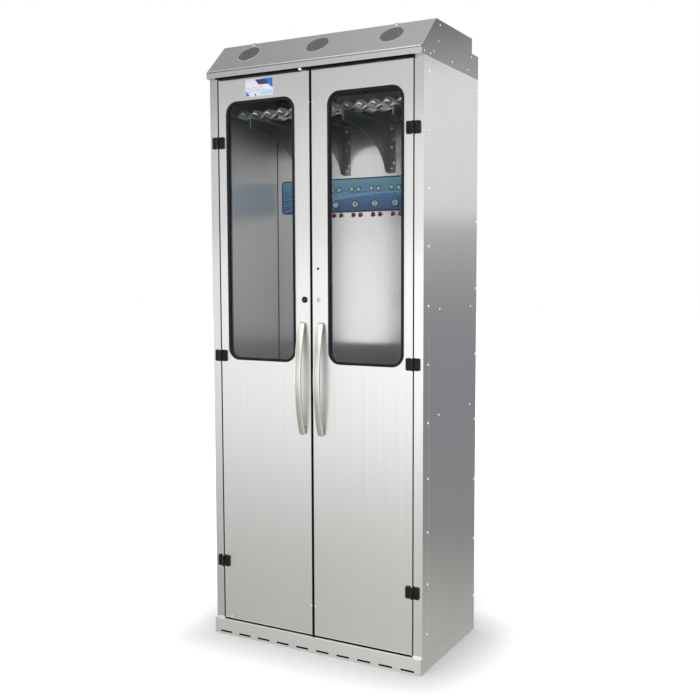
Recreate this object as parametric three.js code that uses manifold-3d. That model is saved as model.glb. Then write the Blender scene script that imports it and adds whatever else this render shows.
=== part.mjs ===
// An endoscope drying and storage cabinet: a double-walled stainless steel body on a plinth, two glazed doors
// on surface hinges, a sloping hood with three fans behind a hinged access panel, and inside it the hanging
// racks and the drying panel. Millimetres, +Z up. The model is drawn with the door faces on y = 0, y growing
// towards the back, and the whole group is then moved so that the middle of its footprint is the origin.
import * as THREE from "three";
import { mergeVertices } from "three/addons/utils/BufferGeometryUtils.js";
import Module from "manifold-3d";

const wasm = await Module();
wasm.setup();

// Driving dimensions
const WIDTH = 914.4; // 36 in
const DEPTH = 512; // door face to back
const PLINTH_HEIGHT = 61;
const PLINTH_REACH = 14; // how far the plinth stands in front of the door face
const BODY_TOP = 2207;
const HEIGHT = 2350; // to the flat top of the hood
const SHEET = 1.5; // steel gauge
const GAP = 0.3; // between pieces that touch
const HALF = WIDTH / 2;

// Hood: a lip, a slope, a flat top, and a lower ledge at the back
const LIP_REACH = 21;
const LIP_TOP = 2230;
const SLOPE_BACK = 102;
const TOP_BACK = 445;
const LEDGE_HEIGHT = 2294;
const SLOPE_ANGLE = Math.atan2(HEIGHT - LIP_TOP, SLOPE_BACK + LIP_REACH);
const SLOPE_LENGTH = Math.hypot(HEIGHT - LIP_TOP, SLOPE_BACK + LIP_REACH);
const PANEL_THICKNESS = 2;
const HOOD_KNUCKLE = 50.8;
const HOOD_KNUCKLES = 18;
const HOOD_BARREL = { s: 2.5, n: 0.5, radius: 3 };

// Fans and their vents, which lie on the slope
const VENT_XS = [-307, 0, 307];
const VENT_ALONG = 102;
const VENT_HOLE = 10;
const VENT_PITCH = 25;
const VENT_ROWS = 1; // rows of holes on each side of the middle row
const FAN_SIZE = 80;
const FAN_BORE = 38;
const LATCH_XS = [-308, 308];
const LATCH_ALONG = 161;

// Power inlet, on the step at the back of the hood
const INLET_X = 312;
const INLET_Z = 2321;

// Doors
const DOOR_BOTTOM = 65;
const DOOR_TOP = 2201;
const DOOR_INNER = 3; // free edge, from the middle
const DOOR_OUTER = 416.5; // hinge edge
const DOOR_THICKNESS = 22;
const JAMB_INNER = 419;
const JAMB_WRAP = 52; // how far the front frame wraps round onto each side
const STOP_FACE = 24;

// Windows
const WINDOW_X = 226;
const WINDOW_Z = 1615.5;
const WINDOW_WIDTH = 300;
const WINDOW_HEIGHT = 987;
const WINDOW_RADIUS = 43;
const GASKET_LIP = 6; // beyond the window's edge, and inwards of the glass's edge
const GLASS_MARGIN = 5;

// Door hinges
const HINGE_AXIS_X = 417.75;
const HINGE_AXIS_Y = -7;
const HINGE_ZS = [300, 1131, 1961];
const HINGE_HEIGHT = 45;
const HINGE_LEAF = 27.5; // axis to outer edge
const HINGE_BARREL = 6;
const HINGE_PIN = 2;

// Handles
const HANDLE_X = 40.6;
const HANDLE_BOTTOM = 843;
const HANDLE_TOP = 1272;
const HANDLE_WIDTH = 29;
const HANDLE_THICKNESS = 9;
const HANDLE_REACH = 42;

// Lock
const LOCK_X = -30.6;
const LOCK_Z = 1356;

// Inside
const LINER_X = 433;
const BACK_WALL = 441;
const CEILING = 2193;
const FLOOR_TOP = PLINTH_HEIGHT + GAP + SHEET;
const BRACKET_XS = [-309, -103, 103, 309];
const BRACKET_TOP = 2058;
const BRACKET_BOTTOM = 1857;
const BRACKET_FRONT = 60;
const RACK_PITCH = WIDTH / 16;
const RACK_WAVES = 14;
const CHANNELS = 8;
const CHANNEL_PITCH = 91.4;
const FITTING_OFFSET = 16.5;
const FITTING_Z = 1693;
const FITTING_RADIUS = 6.5;
const PANEL_BOTTOM = 1707;
const PANEL_TOP = 1846;
const PANEL_FACE = 429;
const BUTTON_Z = 1739;
const BUTTON_RADIUS = 12;

const steel = (name, color, roughness) =>
  new THREE.MeshStandardMaterial({ name, color, roughness, metalness: 1 });
const plain = (name, color, roughness) =>
  new THREE.MeshStandardMaterial({ name, color, roughness, metalness: 0 });
const BRUSHED = steel("brushed_steel", 0xc9cac8, 0.35);
const BRIGHT = steel("bright_steel", 0xdadcdc, 0.2);
const NICKEL = steel("satin_nickel", 0xd8d2c6, 0.3);
const BLACK_METAL = plain("black_hinge", 0x1b1c20, 0.4);
const RUBBER = plain("black_rubber", 0x18191c, 0.7);
const GLASS = new THREE.MeshStandardMaterial({
  name: "glass", color: 0x9aa4a8, roughness: 0.05, transparent: true, opacity: 0.35,
});
const BLUE = plain("printed_panel", 0x3d74a8, 0.4);
const RED = plain("red_fitting", 0x8c1424, 0.4);
const WHITE = plain("white_plastic", 0xe6e8e8, 0.4);
const BLACK_PLASTIC = plain("black_plastic", 0x202124, 0.5);

// Booleans

function toSolid(geometry) {
  const bare = geometry.clone();
  bare.deleteAttribute("normal");
  bare.deleteAttribute("uv");
  const merged = mergeVertices(bare, 1e-3);
  return new wasm.Manifold(
    new wasm.Mesh({
      numProp: 3,
      vertProperties: merged.attributes.position.array,
      triVerts: new Uint32Array(merged.index.array),
    }),
  );
}

function toGeometry(solid) {
  const mesh = solid.getMesh();
  const geometry = new THREE.BufferGeometry();
  geometry.setAttribute("position", new THREE.BufferAttribute(mesh.vertProperties, 3));
  geometry.setIndex(new THREE.BufferAttribute(mesh.triVerts, 1));
  geometry.computeVertexNormals();
  return geometry;
}

function join(...geometries) {
  return toGeometry(geometries.map(toSolid).reduce((all, next) => all.add(next)));
}

function cut(body, ...tools) {
  return toGeometry(tools.map(toSolid).reduce((all, next) => all.subtract(next), toSolid(body)));
}

// Shapes

function block(x0, x1, y0, y1, z0, z1) {
  const geometry = new THREE.BoxGeometry(x1 - x0, y1 - y0, z1 - z0);
  return geometry.translate((x0 + x1) / 2, (y0 + y1) / 2, (z0 + z1) / 2);
}

function outline(points) {
  return new THREE.Shape(points.map(([u, v]) => new THREE.Vector2(u, v)));
}

// A shape drawn in x and z, pulled from y0 to y1
function alongY(shape, y0, y1, curveSegments = 3) {
  const geometry = new THREE.ExtrudeGeometry(shape, { depth: y1 - y0, bevelEnabled: false, curveSegments });
  return geometry.rotateX(Math.PI / 2).translate(0, y1, 0);
}

// A shape drawn in y and z, pulled from x0 to x1
function alongX(shape, x0, x1, curveSegments = 5) {
  const geometry = new THREE.ExtrudeGeometry(shape, { depth: x1 - x0, bevelEnabled: false, curveSegments });
  const turn = new THREE.Matrix4().makeBasis(
    new THREE.Vector3(0, 1, 0), new THREE.Vector3(0, 0, 1), new THREE.Vector3(1, 0, 0),
  );
  return geometry.applyMatrix4(turn).translate(x0, 0, 0);
}

// A shape drawn in x and y, pulled from z0 to z1
function alongZ(shape, z0, z1) {
  return new THREE.ExtrudeGeometry(shape, { depth: z1 - z0, bevelEnabled: false }).translate(0, 0, z0);
}

// The same outline on the right, or mirrored on the left where side is -1
function mirrored(side, points) {
  return outline(side > 0 ? points : points.map(([u, v]) => [-u, v]).reverse());
}

function roundedRectangle(width, height, radius, x = 0, z = 0) {
  const shape = new THREE.Shape();
  const [w, h] = [width / 2 - radius, height / 2 - radius];
  shape.absarc(x + w, z + h, radius, 0, Math.PI / 2, false);
  shape.absarc(x - w, z + h, radius, Math.PI / 2, Math.PI, false);
  shape.absarc(x - w, z - h, radius, Math.PI, Math.PI * 1.5, false);
  shape.absarc(x + w, z - h, radius, Math.PI * 1.5, Math.PI * 2, false);
  return shape;
}

function rodX(radius, x0, x1, y, z, sides = 12) {
  const rod = new THREE.CylinderGeometry(radius, radius, x1 - x0, sides);
  return rod.rotateZ(Math.PI / 2).translate((x0 + x1) / 2, y, z);
}

function rodY(radius, x, y0, y1, z, sides = 12) {
  return new THREE.CylinderGeometry(radius, radius, y1 - y0, sides).translate(x, (y0 + y1) / 2, z);
}

function rodZ(radius, x, y, z0, z1, sides = 12) {
  const rod = new THREE.CylinderGeometry(radius, radius, z1 - z0, sides);
  return rod.rotateX(Math.PI / 2).translate(x, y, (z0 + z1) / 2);
}

// The scene graph: the cabinet, and the hood's slope as a tilted group, y running up the slope and z outwards
const cabinet = new THREE.Group();
const slope = new THREE.Group();
slope.position.set(0, -LIP_REACH, LIP_TOP);
slope.rotation.x = SLOPE_ANGLE;
cabinet.add(slope);

function piece(name, geometry, material, parent = cabinet) {
  const mesh = new THREE.Mesh(geometry, material);
  mesh.name = name;
  parent.add(mesh);
  return mesh;
}

// The same point of the slope group, in the cabinet's frame
function slopePoint(s, n) {
  return [
    -LIP_REACH + s * Math.cos(SLOPE_ANGLE) - n * Math.sin(SLOPE_ANGLE),
    LIP_TOP + s * Math.sin(SLOPE_ANGLE) + n * Math.cos(SLOPE_ANGLE),
  ];
}

// Plinth

function plinth() {
  const slots = 10;
  const slotPitch = 89.7;
  const front = -PLINTH_REACH;
  const flange = 26;
  const gauge = 2;
  let ring = cut(
    block(-HALF, HALF, front, DEPTH, 0, PLINTH_HEIGHT),
    block(-HALF + gauge, HALF - gauge, front + gauge, DEPTH - gauge, gauge, PLINTH_HEIGHT - gauge),
    block(-HALF + flange, HALF - flange, front + flange, DEPTH - flange, -gauge, PLINTH_HEIGHT + gauge),
  );
  for (let i = 0; i < slots; i++) {
    const x = (i - (slots - 1) / 2) * slotPitch;
    ring = cut(ring, block(x - 27.5, x + 27.5, front - gauge, front + 2 * gauge, 7, 14));
  }
  piece("plinth", ring, BRUSHED);
}

// Body panels

function frontFrame() {
  const [bottom, top] = [PLINTH_HEIGHT + GAP, BODY_TOP - GAP];
  const stopWidth = 15;
  const lipDepth = 20; // of the stops above and below the doors
  const stopBack = STOP_FACE + SHEET;
  const parts = [
    block(-HALF, HALF, 0, stopBack, top - SHEET, top),
    block(-HALF, HALF, 0, SHEET, DOOR_TOP + 2.5, top),
    block(-JAMB_INNER, JAMB_INNER, STOP_FACE, stopBack, top - lipDepth, top),
    block(-HALF, HALF, 0, stopBack, bottom, bottom + SHEET),
    block(-JAMB_INNER, JAMB_INNER, STOP_FACE, stopBack, bottom, bottom + lipDepth),
  ];
  const jamb = [
    [JAMB_INNER, 0], [HALF, 0], [HALF, JAMB_WRAP], [HALF - SHEET, JAMB_WRAP], [HALF - SHEET, SHEET],
    [JAMB_INNER + SHEET, SHEET], [JAMB_INNER + SHEET, stopBack], [JAMB_INNER - stopWidth, stopBack],
    [JAMB_INNER - stopWidth, STOP_FACE], [JAMB_INNER, STOP_FACE],
  ];
  for (const side of [-1, 1]) parts.push(alongZ(mirrored(side, jamb), bottom, top));
  piece("front_frame", join(...parts), BRUSHED);
}

function sidePanel(name, side) {
  const [bottom, top] = [PLINTH_HEIGHT + GAP, BODY_TOP - GAP];
  const front = JAMB_WRAP + GAP;
  const joggle = 36; // where the edge behind the front frame begins
  const hem = 425; // inner end of the flange at the back
  const inner = HALF - SHEET;
  const tuck = inner - GAP; // the edge that goes in behind the front frame
  const section = [
    [tuck - SHEET, joggle], [tuck, joggle], [tuck, front], [HALF, front], [HALF, DEPTH], [hem, DEPTH],
    [hem, DEPTH - SHEET], [inner, DEPTH - SHEET], [inner, front + SHEET], [tuck - SHEET, front + SHEET],
  ];
  const panel = alongZ(mirrored(side, section), bottom, top);
  piece(name, panel, BRUSHED);
}

function rearPanel() {
  const back = DEPTH - SHEET - GAP;
  const half = HALF - SHEET - 2;
  piece("rear_panel", block(-half, half, back - SHEET, back, PLINTH_HEIGHT + GAP, BODY_TOP - GAP), BRUSHED);
}

function liners() {
  const [bottom, top] = [FLOOR_TOP + GAP, CEILING - GAP];
  const front = STOP_FACE + SHEET + 0.5;
  const back = BACK_WALL + 4;
  const flange = LINER_X - 26;
  const section = [
    [flange, front], [LINER_X + SHEET, front], [LINER_X + SHEET, back], [LINER_X, back],
    [LINER_X, front + SHEET], [flange, front + SHEET],
  ];
  piece("left_liner", alongZ(mirrored(-1, section), bottom, top), BRUSHED);
  piece("right_liner", alongZ(mirrored(1, section), bottom, top), BRUSHED);
  const wallHalf = LINER_X - GAP;
  let wall = block(-wallHalf, wallHalf, BACK_WALL, BACK_WALL + SHEET, bottom, top);
  const hole = (x) => rodY(FITTING_RADIUS + 1, x, BACK_WALL - 2, BACK_WALL + 4, FITTING_Z, 6);
  wall = cut(wall, ...fittingXs().map(hole));
  piece("inner_back_wall", wall, BRUSHED);
}

function floorAndCeiling() {
  const half = HALF - SHEET - 2.2;
  const front = STOP_FACE + SHEET + GAP;
  const back = DEPTH - 2 * SHEET - 2 * GAP;
  piece("floor_panel", block(-half, half, front, back, PLINTH_HEIGHT + GAP, FLOOR_TOP), BRUSHED);
  const [openingX, openingFront, openingBack] = [280, 120, 390]; // the filter's opening in the ceiling
  const frame = 12; // how far the filter laps over the opening's edge
  const pleats = 11;
  const pleatPitch = 25;
  const filterHeight = 68;
  const ceiling = cut(
    block(-half, half, front, back, CEILING, CEILING + SHEET),
    block(-openingX, openingX, openingFront, openingBack, CEILING - 1, CEILING + SHEET + 1),
  );
  piece("ceiling_panel", ceiling, BRUSHED);
  const body = block(
    -openingX - frame, openingX + frame, openingFront - frame, openingBack + frame,
    CEILING + SHEET + GAP, CEILING + SHEET + filterHeight,
  );
  const grooves = Array.from({ length: pleats }, (_, i) => {
    const y = (openingFront + openingBack) / 2 + (i - (pleats - 1) / 2) * pleatPitch;
    return block(-openingX + 4, openingX - 4, y - 5, y + 5, CEILING + frame, CEILING + filterHeight + frame);
  });
  piece("hepa_filter", cut(body, ...grooves), WHITE);
}

// Hood

function hoodShell() {
  const outer = outline([
    [-LIP_REACH, BODY_TOP], [-LIP_REACH, LIP_TOP], [SLOPE_BACK, HEIGHT],
    [TOP_BACK, HEIGHT], [TOP_BACK, LEDGE_HEIGHT], [DEPTH, LEDGE_HEIGHT], [DEPTH, BODY_TOP],
  ].reverse());
  const inner = outline([
    [-LIP_REACH + SHEET, BODY_TOP + SHEET], [-LIP_REACH + SHEET, LIP_TOP], [SLOPE_BACK, HEIGHT - SHEET],
    [TOP_BACK - SHEET, HEIGHT - SHEET], [TOP_BACK - SHEET, LEDGE_HEIGHT - SHEET],
    [DEPTH - SHEET, LEDGE_HEIGHT - SHEET], [DEPTH - SHEET, BODY_TOP - 5], [0, BODY_TOP - 5],
    [0, BODY_TOP + SHEET],
  ].reverse());
  const clearance = PANEL_THICKNESS + GAP;
  const onSlope = (x0, x1, s0, s1, n0, n1) => {
    const [y, z] = slopePoint(0, 0);
    return block(x0, x1, s0, s1, n0, n1).rotateX(SLOPE_ANGLE).translate(0, y, z);
  };
  const shell = cut(
    alongX(outer, -HALF, HALF),
    alongX(inner, -HALF + SHEET, HALF - SHEET),
    onSlope(-HALF - 5, HALF + 5, -12, SLOPE_LENGTH + 1.6, -clearance, 40),
    block(
      INLET_X - 16, INLET_X + 16, TOP_BACK - 6, TOP_BACK + 4, INLET_Z - 13, INLET_Z + 13,
    ),
  );
  const flangeTop = -clearance;
  const flangeBottom = flangeTop - SHEET;
  const [side, opening] = [HALF - SHEET / 2, 440]; // the flanges that the panel lies on, round its opening
  const [low, high] = [28, 155];
  const ledge = onSlope(-side, side, high - 3, SLOPE_LENGTH + 3, flangeBottom, flangeTop);
  const flange = (x0, x1) => onSlope(x0, x1, low, high, flangeBottom, flangeTop);
  piece("hood_shell", join(shell, ledge, flange(-side, -opening), flange(opening, side)), BRUSHED);
}

function knuckleSpans(first) {
  const start = (-HOOD_KNUCKLES * HOOD_KNUCKLE) / 2;
  const spans = [];
  for (let i = first; i < HOOD_KNUCKLES; i += 2) {
    const x = start + i * HOOD_KNUCKLE;
    spans.push([Math.max(x, -HALF + SHEET + 1) + 0.2, Math.min(x + HOOD_KNUCKLE, HALF - SHEET - 1) - 0.2]);
  }
  return spans;
}

function hoodHinge() {
  const { s, n, radius } = HOOD_BARREL;
  const [axisY, axisZ] = slopePoint(s, n);
  const half = HALF - SHEET - 1;
  const leafFront = -LIP_REACH + SHEET + GAP;
  const fixed = [
    block(-half, half, leafFront, leafFront + SHEET, BODY_TOP + 4, axisZ - radius - 0.6),
    rodX(1.4, -half, half, axisY, axisZ, 6),
  ];
  for (const [x0, x1] of knuckleSpans(0)) {
    fixed.push(rodX(radius, x0, x1, axisY, axisZ, 6));
    fixed.push(block(x0, x1, leafFront, leafFront + SHEET, BODY_TOP + 10, axisZ));
  }
  piece("hood_hinge_fixed_leaf", join(...fixed), BRIGHT);

  const top = -PANEL_THICKNESS - GAP;
  const moving = [block(-half, half, s + radius + 0.7, 22, top - SHEET, top)];
  for (const [x0, x1] of knuckleSpans(1)) {
    moving.push(block(x0, x1, s, s + radius + 2, top - SHEET, top));
    moving.push(block(x0, x1, s, s + radius + 0.4, top - SHEET, top + 0.9));
    moving.push(rodX(radius, x0, x1, s, n, 6));
  }
  const leaf = cut(join(...moving), rodX(2.1, -HALF, HALF, s, n, 6));
  piece("hood_hinge_moving_leaf", leaf, BRIGHT, slope);
}

function ventHoles(x) {
  const holes = [];
  for (let row = -VENT_ROWS; row <= VENT_ROWS; row++) {
    const count = 2 * VENT_ROWS + 1 - Math.abs(row);
    for (let i = 0; i < count; i++) {
      const across = x + (i - (count - 1) / 2) * VENT_PITCH;
      const along = VENT_ALONG + (row * VENT_PITCH * Math.sqrt(3)) / 2;
      holes.push(rodZ(VENT_HOLE, across, along, -PANEL_THICKNESS - 1, 1, 6));
    }
  }
  return holes;
}

function accessPanel() {
  const bottom = HOOD_BARREL.s + HOOD_BARREL.radius + 0.7;
  const panel = cut(
    block(-HALF, HALF, bottom, SLOPE_LENGTH - 1.3, -PANEL_THICKNESS, 0),
    ...VENT_XS.flatMap(ventHoles),
    ...LATCH_XS.map((x) => rodZ(4, x, LATCH_ALONG, -PANEL_THICKNESS - 1, 1, 8)),
  );
  piece("hood_access_panel", panel, BRUSHED, slope);
}

function fans() {
  const top = -PANEL_THICKNESS - GAP;
  const depth = 25.4;
  const back = top - depth;
  const half = FAN_SIZE / 2;
  const [endMargin, plateHalf] = [54, 46];
  const [plateLeft, plateRight] = [VENT_XS[0] - endMargin, VENT_XS.at(-1) + endMargin];
  const [plateLow, plateHigh] = [VENT_ALONG - plateHalf, VENT_ALONG + plateHalf];
  const bodies = [block(plateLeft, plateRight, plateLow, plateHigh, top - SHEET, top)];
  for (const x of VENT_XS) {
    bodies.push(block(x - half, x + half, VENT_ALONG - half, VENT_ALONG + half, back, top));
  }
  const bores = VENT_XS.map((x) => rodZ(FAN_BORE, x, VENT_ALONG, back - 1, top + 1, 16));
  const bored = cut(join(...bodies), ...bores);
  const spiders = VENT_XS.flatMap((x) => [
    rodZ(12, x, VENT_ALONG, back, back + 5, 8),
    block(x - half + 1, x + half - 1, VENT_ALONG - 2, VENT_ALONG + 2, back, back + 3),
    block(x - 2, x + 2, VENT_ALONG - half + 1, VENT_ALONG + half - 1, back, back + 3),
  ]);
  piece("fan_frame", join(bored, ...spiders), BLACK_PLASTIC, slope);

  VENT_XS.forEach((x, i) => {
    const blades = 5;
    const parts = [rodZ(14, 0, 0, -8, 8, 12)];
    for (let b = 0; b < blades; b++) {
      const blade = block(8, 35.5, -1.2, 1.2, -8.5, 8.5).rotateX(0.75);
      parts.push(blade.rotateZ((b * 2 * Math.PI) / blades));
    }
    const rotor = piece(`fan_rotor_${i + 1}`, join(...parts), BLACK_PLASTIC, slope);
    rotor.position.set(x, VENT_ALONG, back + 14.6);
  });
}

function hoodLatches() {
  LATCH_XS.forEach((x, i) => {
    const latch = join(
      rodZ(8, 0, 0, GAP, 3, 16),
      block(-7, 7, -1.8, 1.8, 2.5, 7.5),
      rodZ(3, 0, 0, -PANEL_THICKNESS + GAP, 1, 8), // the stud stays within the panel's thickness
    );
    const stud = piece(i ? "hood_latch_right" : "hood_latch_left", latch, BRIGHT, slope);
    stud.position.set(x, LATCH_ALONG, 0);
  });
}

// Doors

function doorSkin(side) {
  const span = (a, b) => [Math.min(side * a, side * b), Math.max(side * a, side * b)];
  const [x0, x1] = span(DOOR_INNER, DOOR_OUTER);
  const skin = block(x0, x1, 0, DOOR_THICKNESS, DOOR_BOTTOM, DOOR_TOP);
  const inside = block(
    x0 + SHEET, x1 - SHEET, SHEET, DOOR_THICKNESS - SHEET, DOOR_BOTTOM + SHEET, DOOR_TOP - SHEET,
  );
  const windowShape = roundedRectangle(WINDOW_WIDTH, WINDOW_HEIGHT, WINDOW_RADIUS, side * WINDOW_X, WINDOW_Z);
  const tunnelShape = roundedRectangle(
    WINDOW_WIDTH + 2 * SHEET, WINDOW_HEIGHT + 2 * SHEET, WINDOW_RADIUS + SHEET, side * WINDOW_X, WINDOW_Z,
  );
  const hollow = cut(inside, alongY(tunnelShape, 0, DOOR_THICKNESS));
  const tools = [hollow, alongY(windowShape, -1, DOOR_THICKNESS + 1)];
  for (const x of [120, 300]) {
    tools.push(block(side * x - 20, side * x + 20, 8, 14, DOOR_BOTTOM - 1, DOOR_BOTTOM + SHEET + 1));
  }
  if (side < 0) tools.push(rodY(9.5, LOCK_X, -1, DOOR_THICKNESS + 1, LOCK_Z, 16));
  return cut(skin, ...tools);
}

function windowGasket(side) {
  const centre = [side * WINDOW_X, WINDOW_Z];
  const ring = (inset, y0, y1) => alongY(
    roundedRectangle(WINDOW_WIDTH - 2 * inset, WINDOW_HEIGHT - 2 * inset, WINDOW_RADIUS - inset, ...centre),
    y0,
    y1,
  );
  const inside = DOOR_THICKNESS + GAP;
  const body = join(
    ring(-GASKET_LIP, -3, -GAP),
    ring(GAP, -2, inside),
    ring(-GASKET_LIP, inside, DOOR_THICKNESS + 2),
  );
  return cut(body, ring(8, -4, DOOR_THICKNESS + 4), ring(GLASS_MARGIN - GAP, 8, 13));
}

function windowGlass(side) {
  const shape = roundedRectangle(
    WINDOW_WIDTH - 2 * GLASS_MARGIN, WINDOW_HEIGHT - 2 * GLASS_MARGIN, WINDOW_RADIUS - GLASS_MARGIN,
    side * WINDOW_X, WINDOW_Z,
  );
  return alongY(shape, 8 + GAP, 13 - GAP);
}

// A flat strap bowed away from the door, with its two ends on the door
function handle(side) {
  const half = (HANDLE_TOP - HANDLE_BOTTOM) / 2;
  const middle = (HANDLE_TOP + HANDLE_BOTTOM) / 2;
  const bow = HANDLE_REACH - HANDLE_THICKNESS - GAP;
  const radius = (half * half + bow * bow) / (2 * bow);
  const centreY = -HANDLE_REACH + radius + HANDLE_THICKNESS;
  const arcPoint = (r, z) => [centreY - Math.sqrt(r * r - z * z), middle + z];
  const steps = 14;
  const foot = 24; // the flat end that lies on the door
  const outerHalf = half - 5;
  const innerHalf = half - foot - 8;
  const points = [];
  for (let i = 0; i <= steps; i++) {
    points.push(arcPoint(radius + HANDLE_THICKNESS, outerHalf - (2 * outerHalf * i) / steps));
  }
  points.push([-GAP - 4, HANDLE_BOTTOM], [-GAP, HANDLE_BOTTOM + 2], [-GAP, HANDLE_BOTTOM + foot]);
  for (let i = 0; i <= steps; i++) {
    points.push(arcPoint(radius, -innerHalf + (2 * innerHalf * i) / steps));
  }
  points.push([-GAP, HANDLE_TOP - foot], [-GAP, HANDLE_TOP - 2], [-GAP - 4, HANDLE_TOP]);
  const centre = side * HANDLE_X;
  return alongX(outline(points), centre - HANDLE_WIDTH / 2, centre + HANDLE_WIDTH / 2);
}

// One leaf of a surface hinge: a plate against the face and its share of the barrel
function hingeLeaf(side, towardsDoor, z) {
  const reach = towardsDoor ? -1 : 1;
  const inner = HINGE_BARREL + 1;
  const [bottom, top] = [z - HINGE_HEIGHT / 2, z + HINGE_HEIGHT / 2];
  const knuckle = HINGE_HEIGHT / 3;
  const axis = side * HINGE_AXIS_X;
  const end = (distance) => axis + side * reach * distance;
  const plateWidth = HINGE_LEAF - inner;
  const middle = (end(inner) + end(HINGE_LEAF)) / 2;
  const plate = alongY(roundedRectangle(plateWidth, HINGE_HEIGHT, 5, middle, z), -5.5, -GAP, 1);
  const [neckLeft, neckRight] = [Math.min(axis, end(inner + 1)), Math.max(axis, end(inner + 1))];
  const neck = (z0, z1) => block(neckLeft, neckRight, -5.5, -2.2, z0, z1);
  const barrel = (z0, z1) => rodZ(HINGE_BARREL, axis, HINGE_AXIS_Y, z0, z1, 8);
  if (towardsDoor) {
    const [z0, z1] = [bottom + knuckle + GAP, top - knuckle - GAP];
    const clear = [
      rodZ(HINGE_BARREL + 1, axis, HINGE_AXIS_Y, bottom - 1, z0, 8),
      rodZ(HINGE_BARREL + 1, axis, HINGE_AXIS_Y, z1, top + 1, 8),
      rodZ(HINGE_PIN + 1, axis, HINGE_AXIS_Y, bottom, top, 6),
    ];
    return cut(join(plate, neck(z0, z1), barrel(z0, z1)), ...clear);
  }
  const [z0, z1] = [bottom + knuckle, top - knuckle];
  const solid = cut(
    join(plate, neck(bottom, z0), neck(z1, top), barrel(bottom, z0), barrel(z1, top)),
    rodZ(HINGE_BARREL + 1, axis, HINGE_AXIS_Y, z0, z1, 8),
  );
  return join(solid, rodZ(HINGE_PIN, axis, HINGE_AXIS_Y, bottom + 1, top - 1, 6));
}

function door(name, side) {
  piece(`${name}_door_skin`, doorSkin(side), BRUSHED);
  piece(`${name}_window_gasket`, windowGasket(side), RUBBER);
  piece(`${name}_window_glass`, windowGlass(side), GLASS);
  piece(`${name}_handle`, handle(side), NICKEL);
  HINGE_ZS.forEach((z, i) => {
    piece(`${name}_hinge_${i + 1}_door_leaf`, hingeLeaf(side, true, z), BLACK_METAL);
    piece(`${name}_hinge_${i + 1}_frame_leaf`, hingeLeaf(side, false, z), BLACK_METAL);
  });
}

// The lock's sleeve through the left door, and the plug that turns in it with its cam
function lock() {
  const sleeve = cut(
    join(
      rodY(12, LOCK_X, -2.5, -GAP, LOCK_Z, 20),
      rodY(9, LOCK_X, -1, DOOR_THICKNESS + 5, LOCK_Z, 16),
      rodY(12.5, LOCK_X, DOOR_THICKNESS + GAP, DOOR_THICKNESS + 3, LOCK_Z, 6),
    ),
    rodY(7, LOCK_X, -4, DOOR_THICKNESS + 6, LOCK_Z, 16),
  );
  piece("lock_sleeve", sleeve, BLACK_METAL);
  const plug = join(
    cut(
      rodY(6.4, LOCK_X, -3, DOOR_THICKNESS + 8, LOCK_Z, 16),
      block(LOCK_X - 0.8, LOCK_X + 0.8, -4, 6, LOCK_Z - 4, LOCK_Z + 4),
    ),
    block(LOCK_X - 7, LOCK_X + 7, DOOR_THICKNESS + 5.5, DOOR_THICKNESS + 8, LOCK_Z - 46, LOCK_Z + 7),
  );
  piece("lock_plug", plug, BRIGHT);
}

// Inside

function fittingXs() {
  const xs = [];
  for (let i = 0; i < CHANNELS; i++) {
    const x = (i - (CHANNELS - 1) / 2) * CHANNEL_PITCH;
    xs.push(x - FITTING_OFFSET, x + FITTING_OFFSET);
  }
  return xs;
}

// A curved web with a flange on the back wall and another under the rack
function brackets() {
  const gauge = 2;
  const web = new THREE.Shape();
  const wall = BACK_WALL - GAP;
  web.moveTo(wall, BRACKET_TOP);
  web.lineTo(BRACKET_FRONT, BRACKET_TOP);
  web.lineTo(BRACKET_FRONT, BRACKET_TOP - 31);
  web.quadraticCurveTo(BRACKET_FRONT + 2, BRACKET_TOP - 39, BRACKET_FRONT + 19, BRACKET_TOP - 40);
  web.bezierCurveTo(230, 2016, 380, 1960, 412, BRACKET_BOTTOM + 5);
  web.lineTo(wall, BRACKET_BOTTOM);
  BRACKET_XS.forEach((x, i) => {
    const face = x - gauge / 2;
    const bracket = join(
      alongX(web, face, face + gauge, 10),
      block(face, face + 32, wall - gauge, wall, BRACKET_BOTTOM, BRACKET_TOP),
      block(face, face + 18, BRACKET_FRONT, wall, BRACKET_TOP - gauge, BRACKET_TOP),
    );
    piece(`rack_bracket_${i + 1}`, bracket, BRUSHED);
  });
}

// A corrugated strip whose hollows hold the scopes' heads, on two flat rails
function rackStrip(y0, y1, lowest, rise, stepsPerWave) {
  const thickness = 3;
  const half = (RACK_WAVES * RACK_PITCH) / 2;
  const top = [];
  for (let i = 0; i <= RACK_WAVES * stepsPerWave; i++) {
    const turn = (2 * Math.PI * i) / stepsPerWave;
    const height = (rise * (1 + Math.cos(turn))) / 2;
    top.push([-half + (i * RACK_PITCH) / stepsPerWave, lowest + thickness + height]);
  }
  const under = top.map(([x, z]) => [x, z - thickness]).reverse();
  return alongY(outline([...under, ...top].reverse()), y0, y1);
}

function scopeRack() {
  const base = BRACKET_TOP + GAP;
  const ties = BRACKET_XS.map((x) => {
    const hollow = (Math.floor(x / RACK_PITCH) + 0.5) * RACK_PITCH;
    return block(hollow - 26, hollow + 26, BRACKET_FRONT, 198, base, base + 3);
  });
  const front = rackStrip(52, 122, base + 2.5, 24, 6);
  const rear = rackStrip(146, 204, base + 2.5, 14, 4);
  piece("scope_rack", join(front, rear, ...ties), BRIGHT);
}

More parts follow.
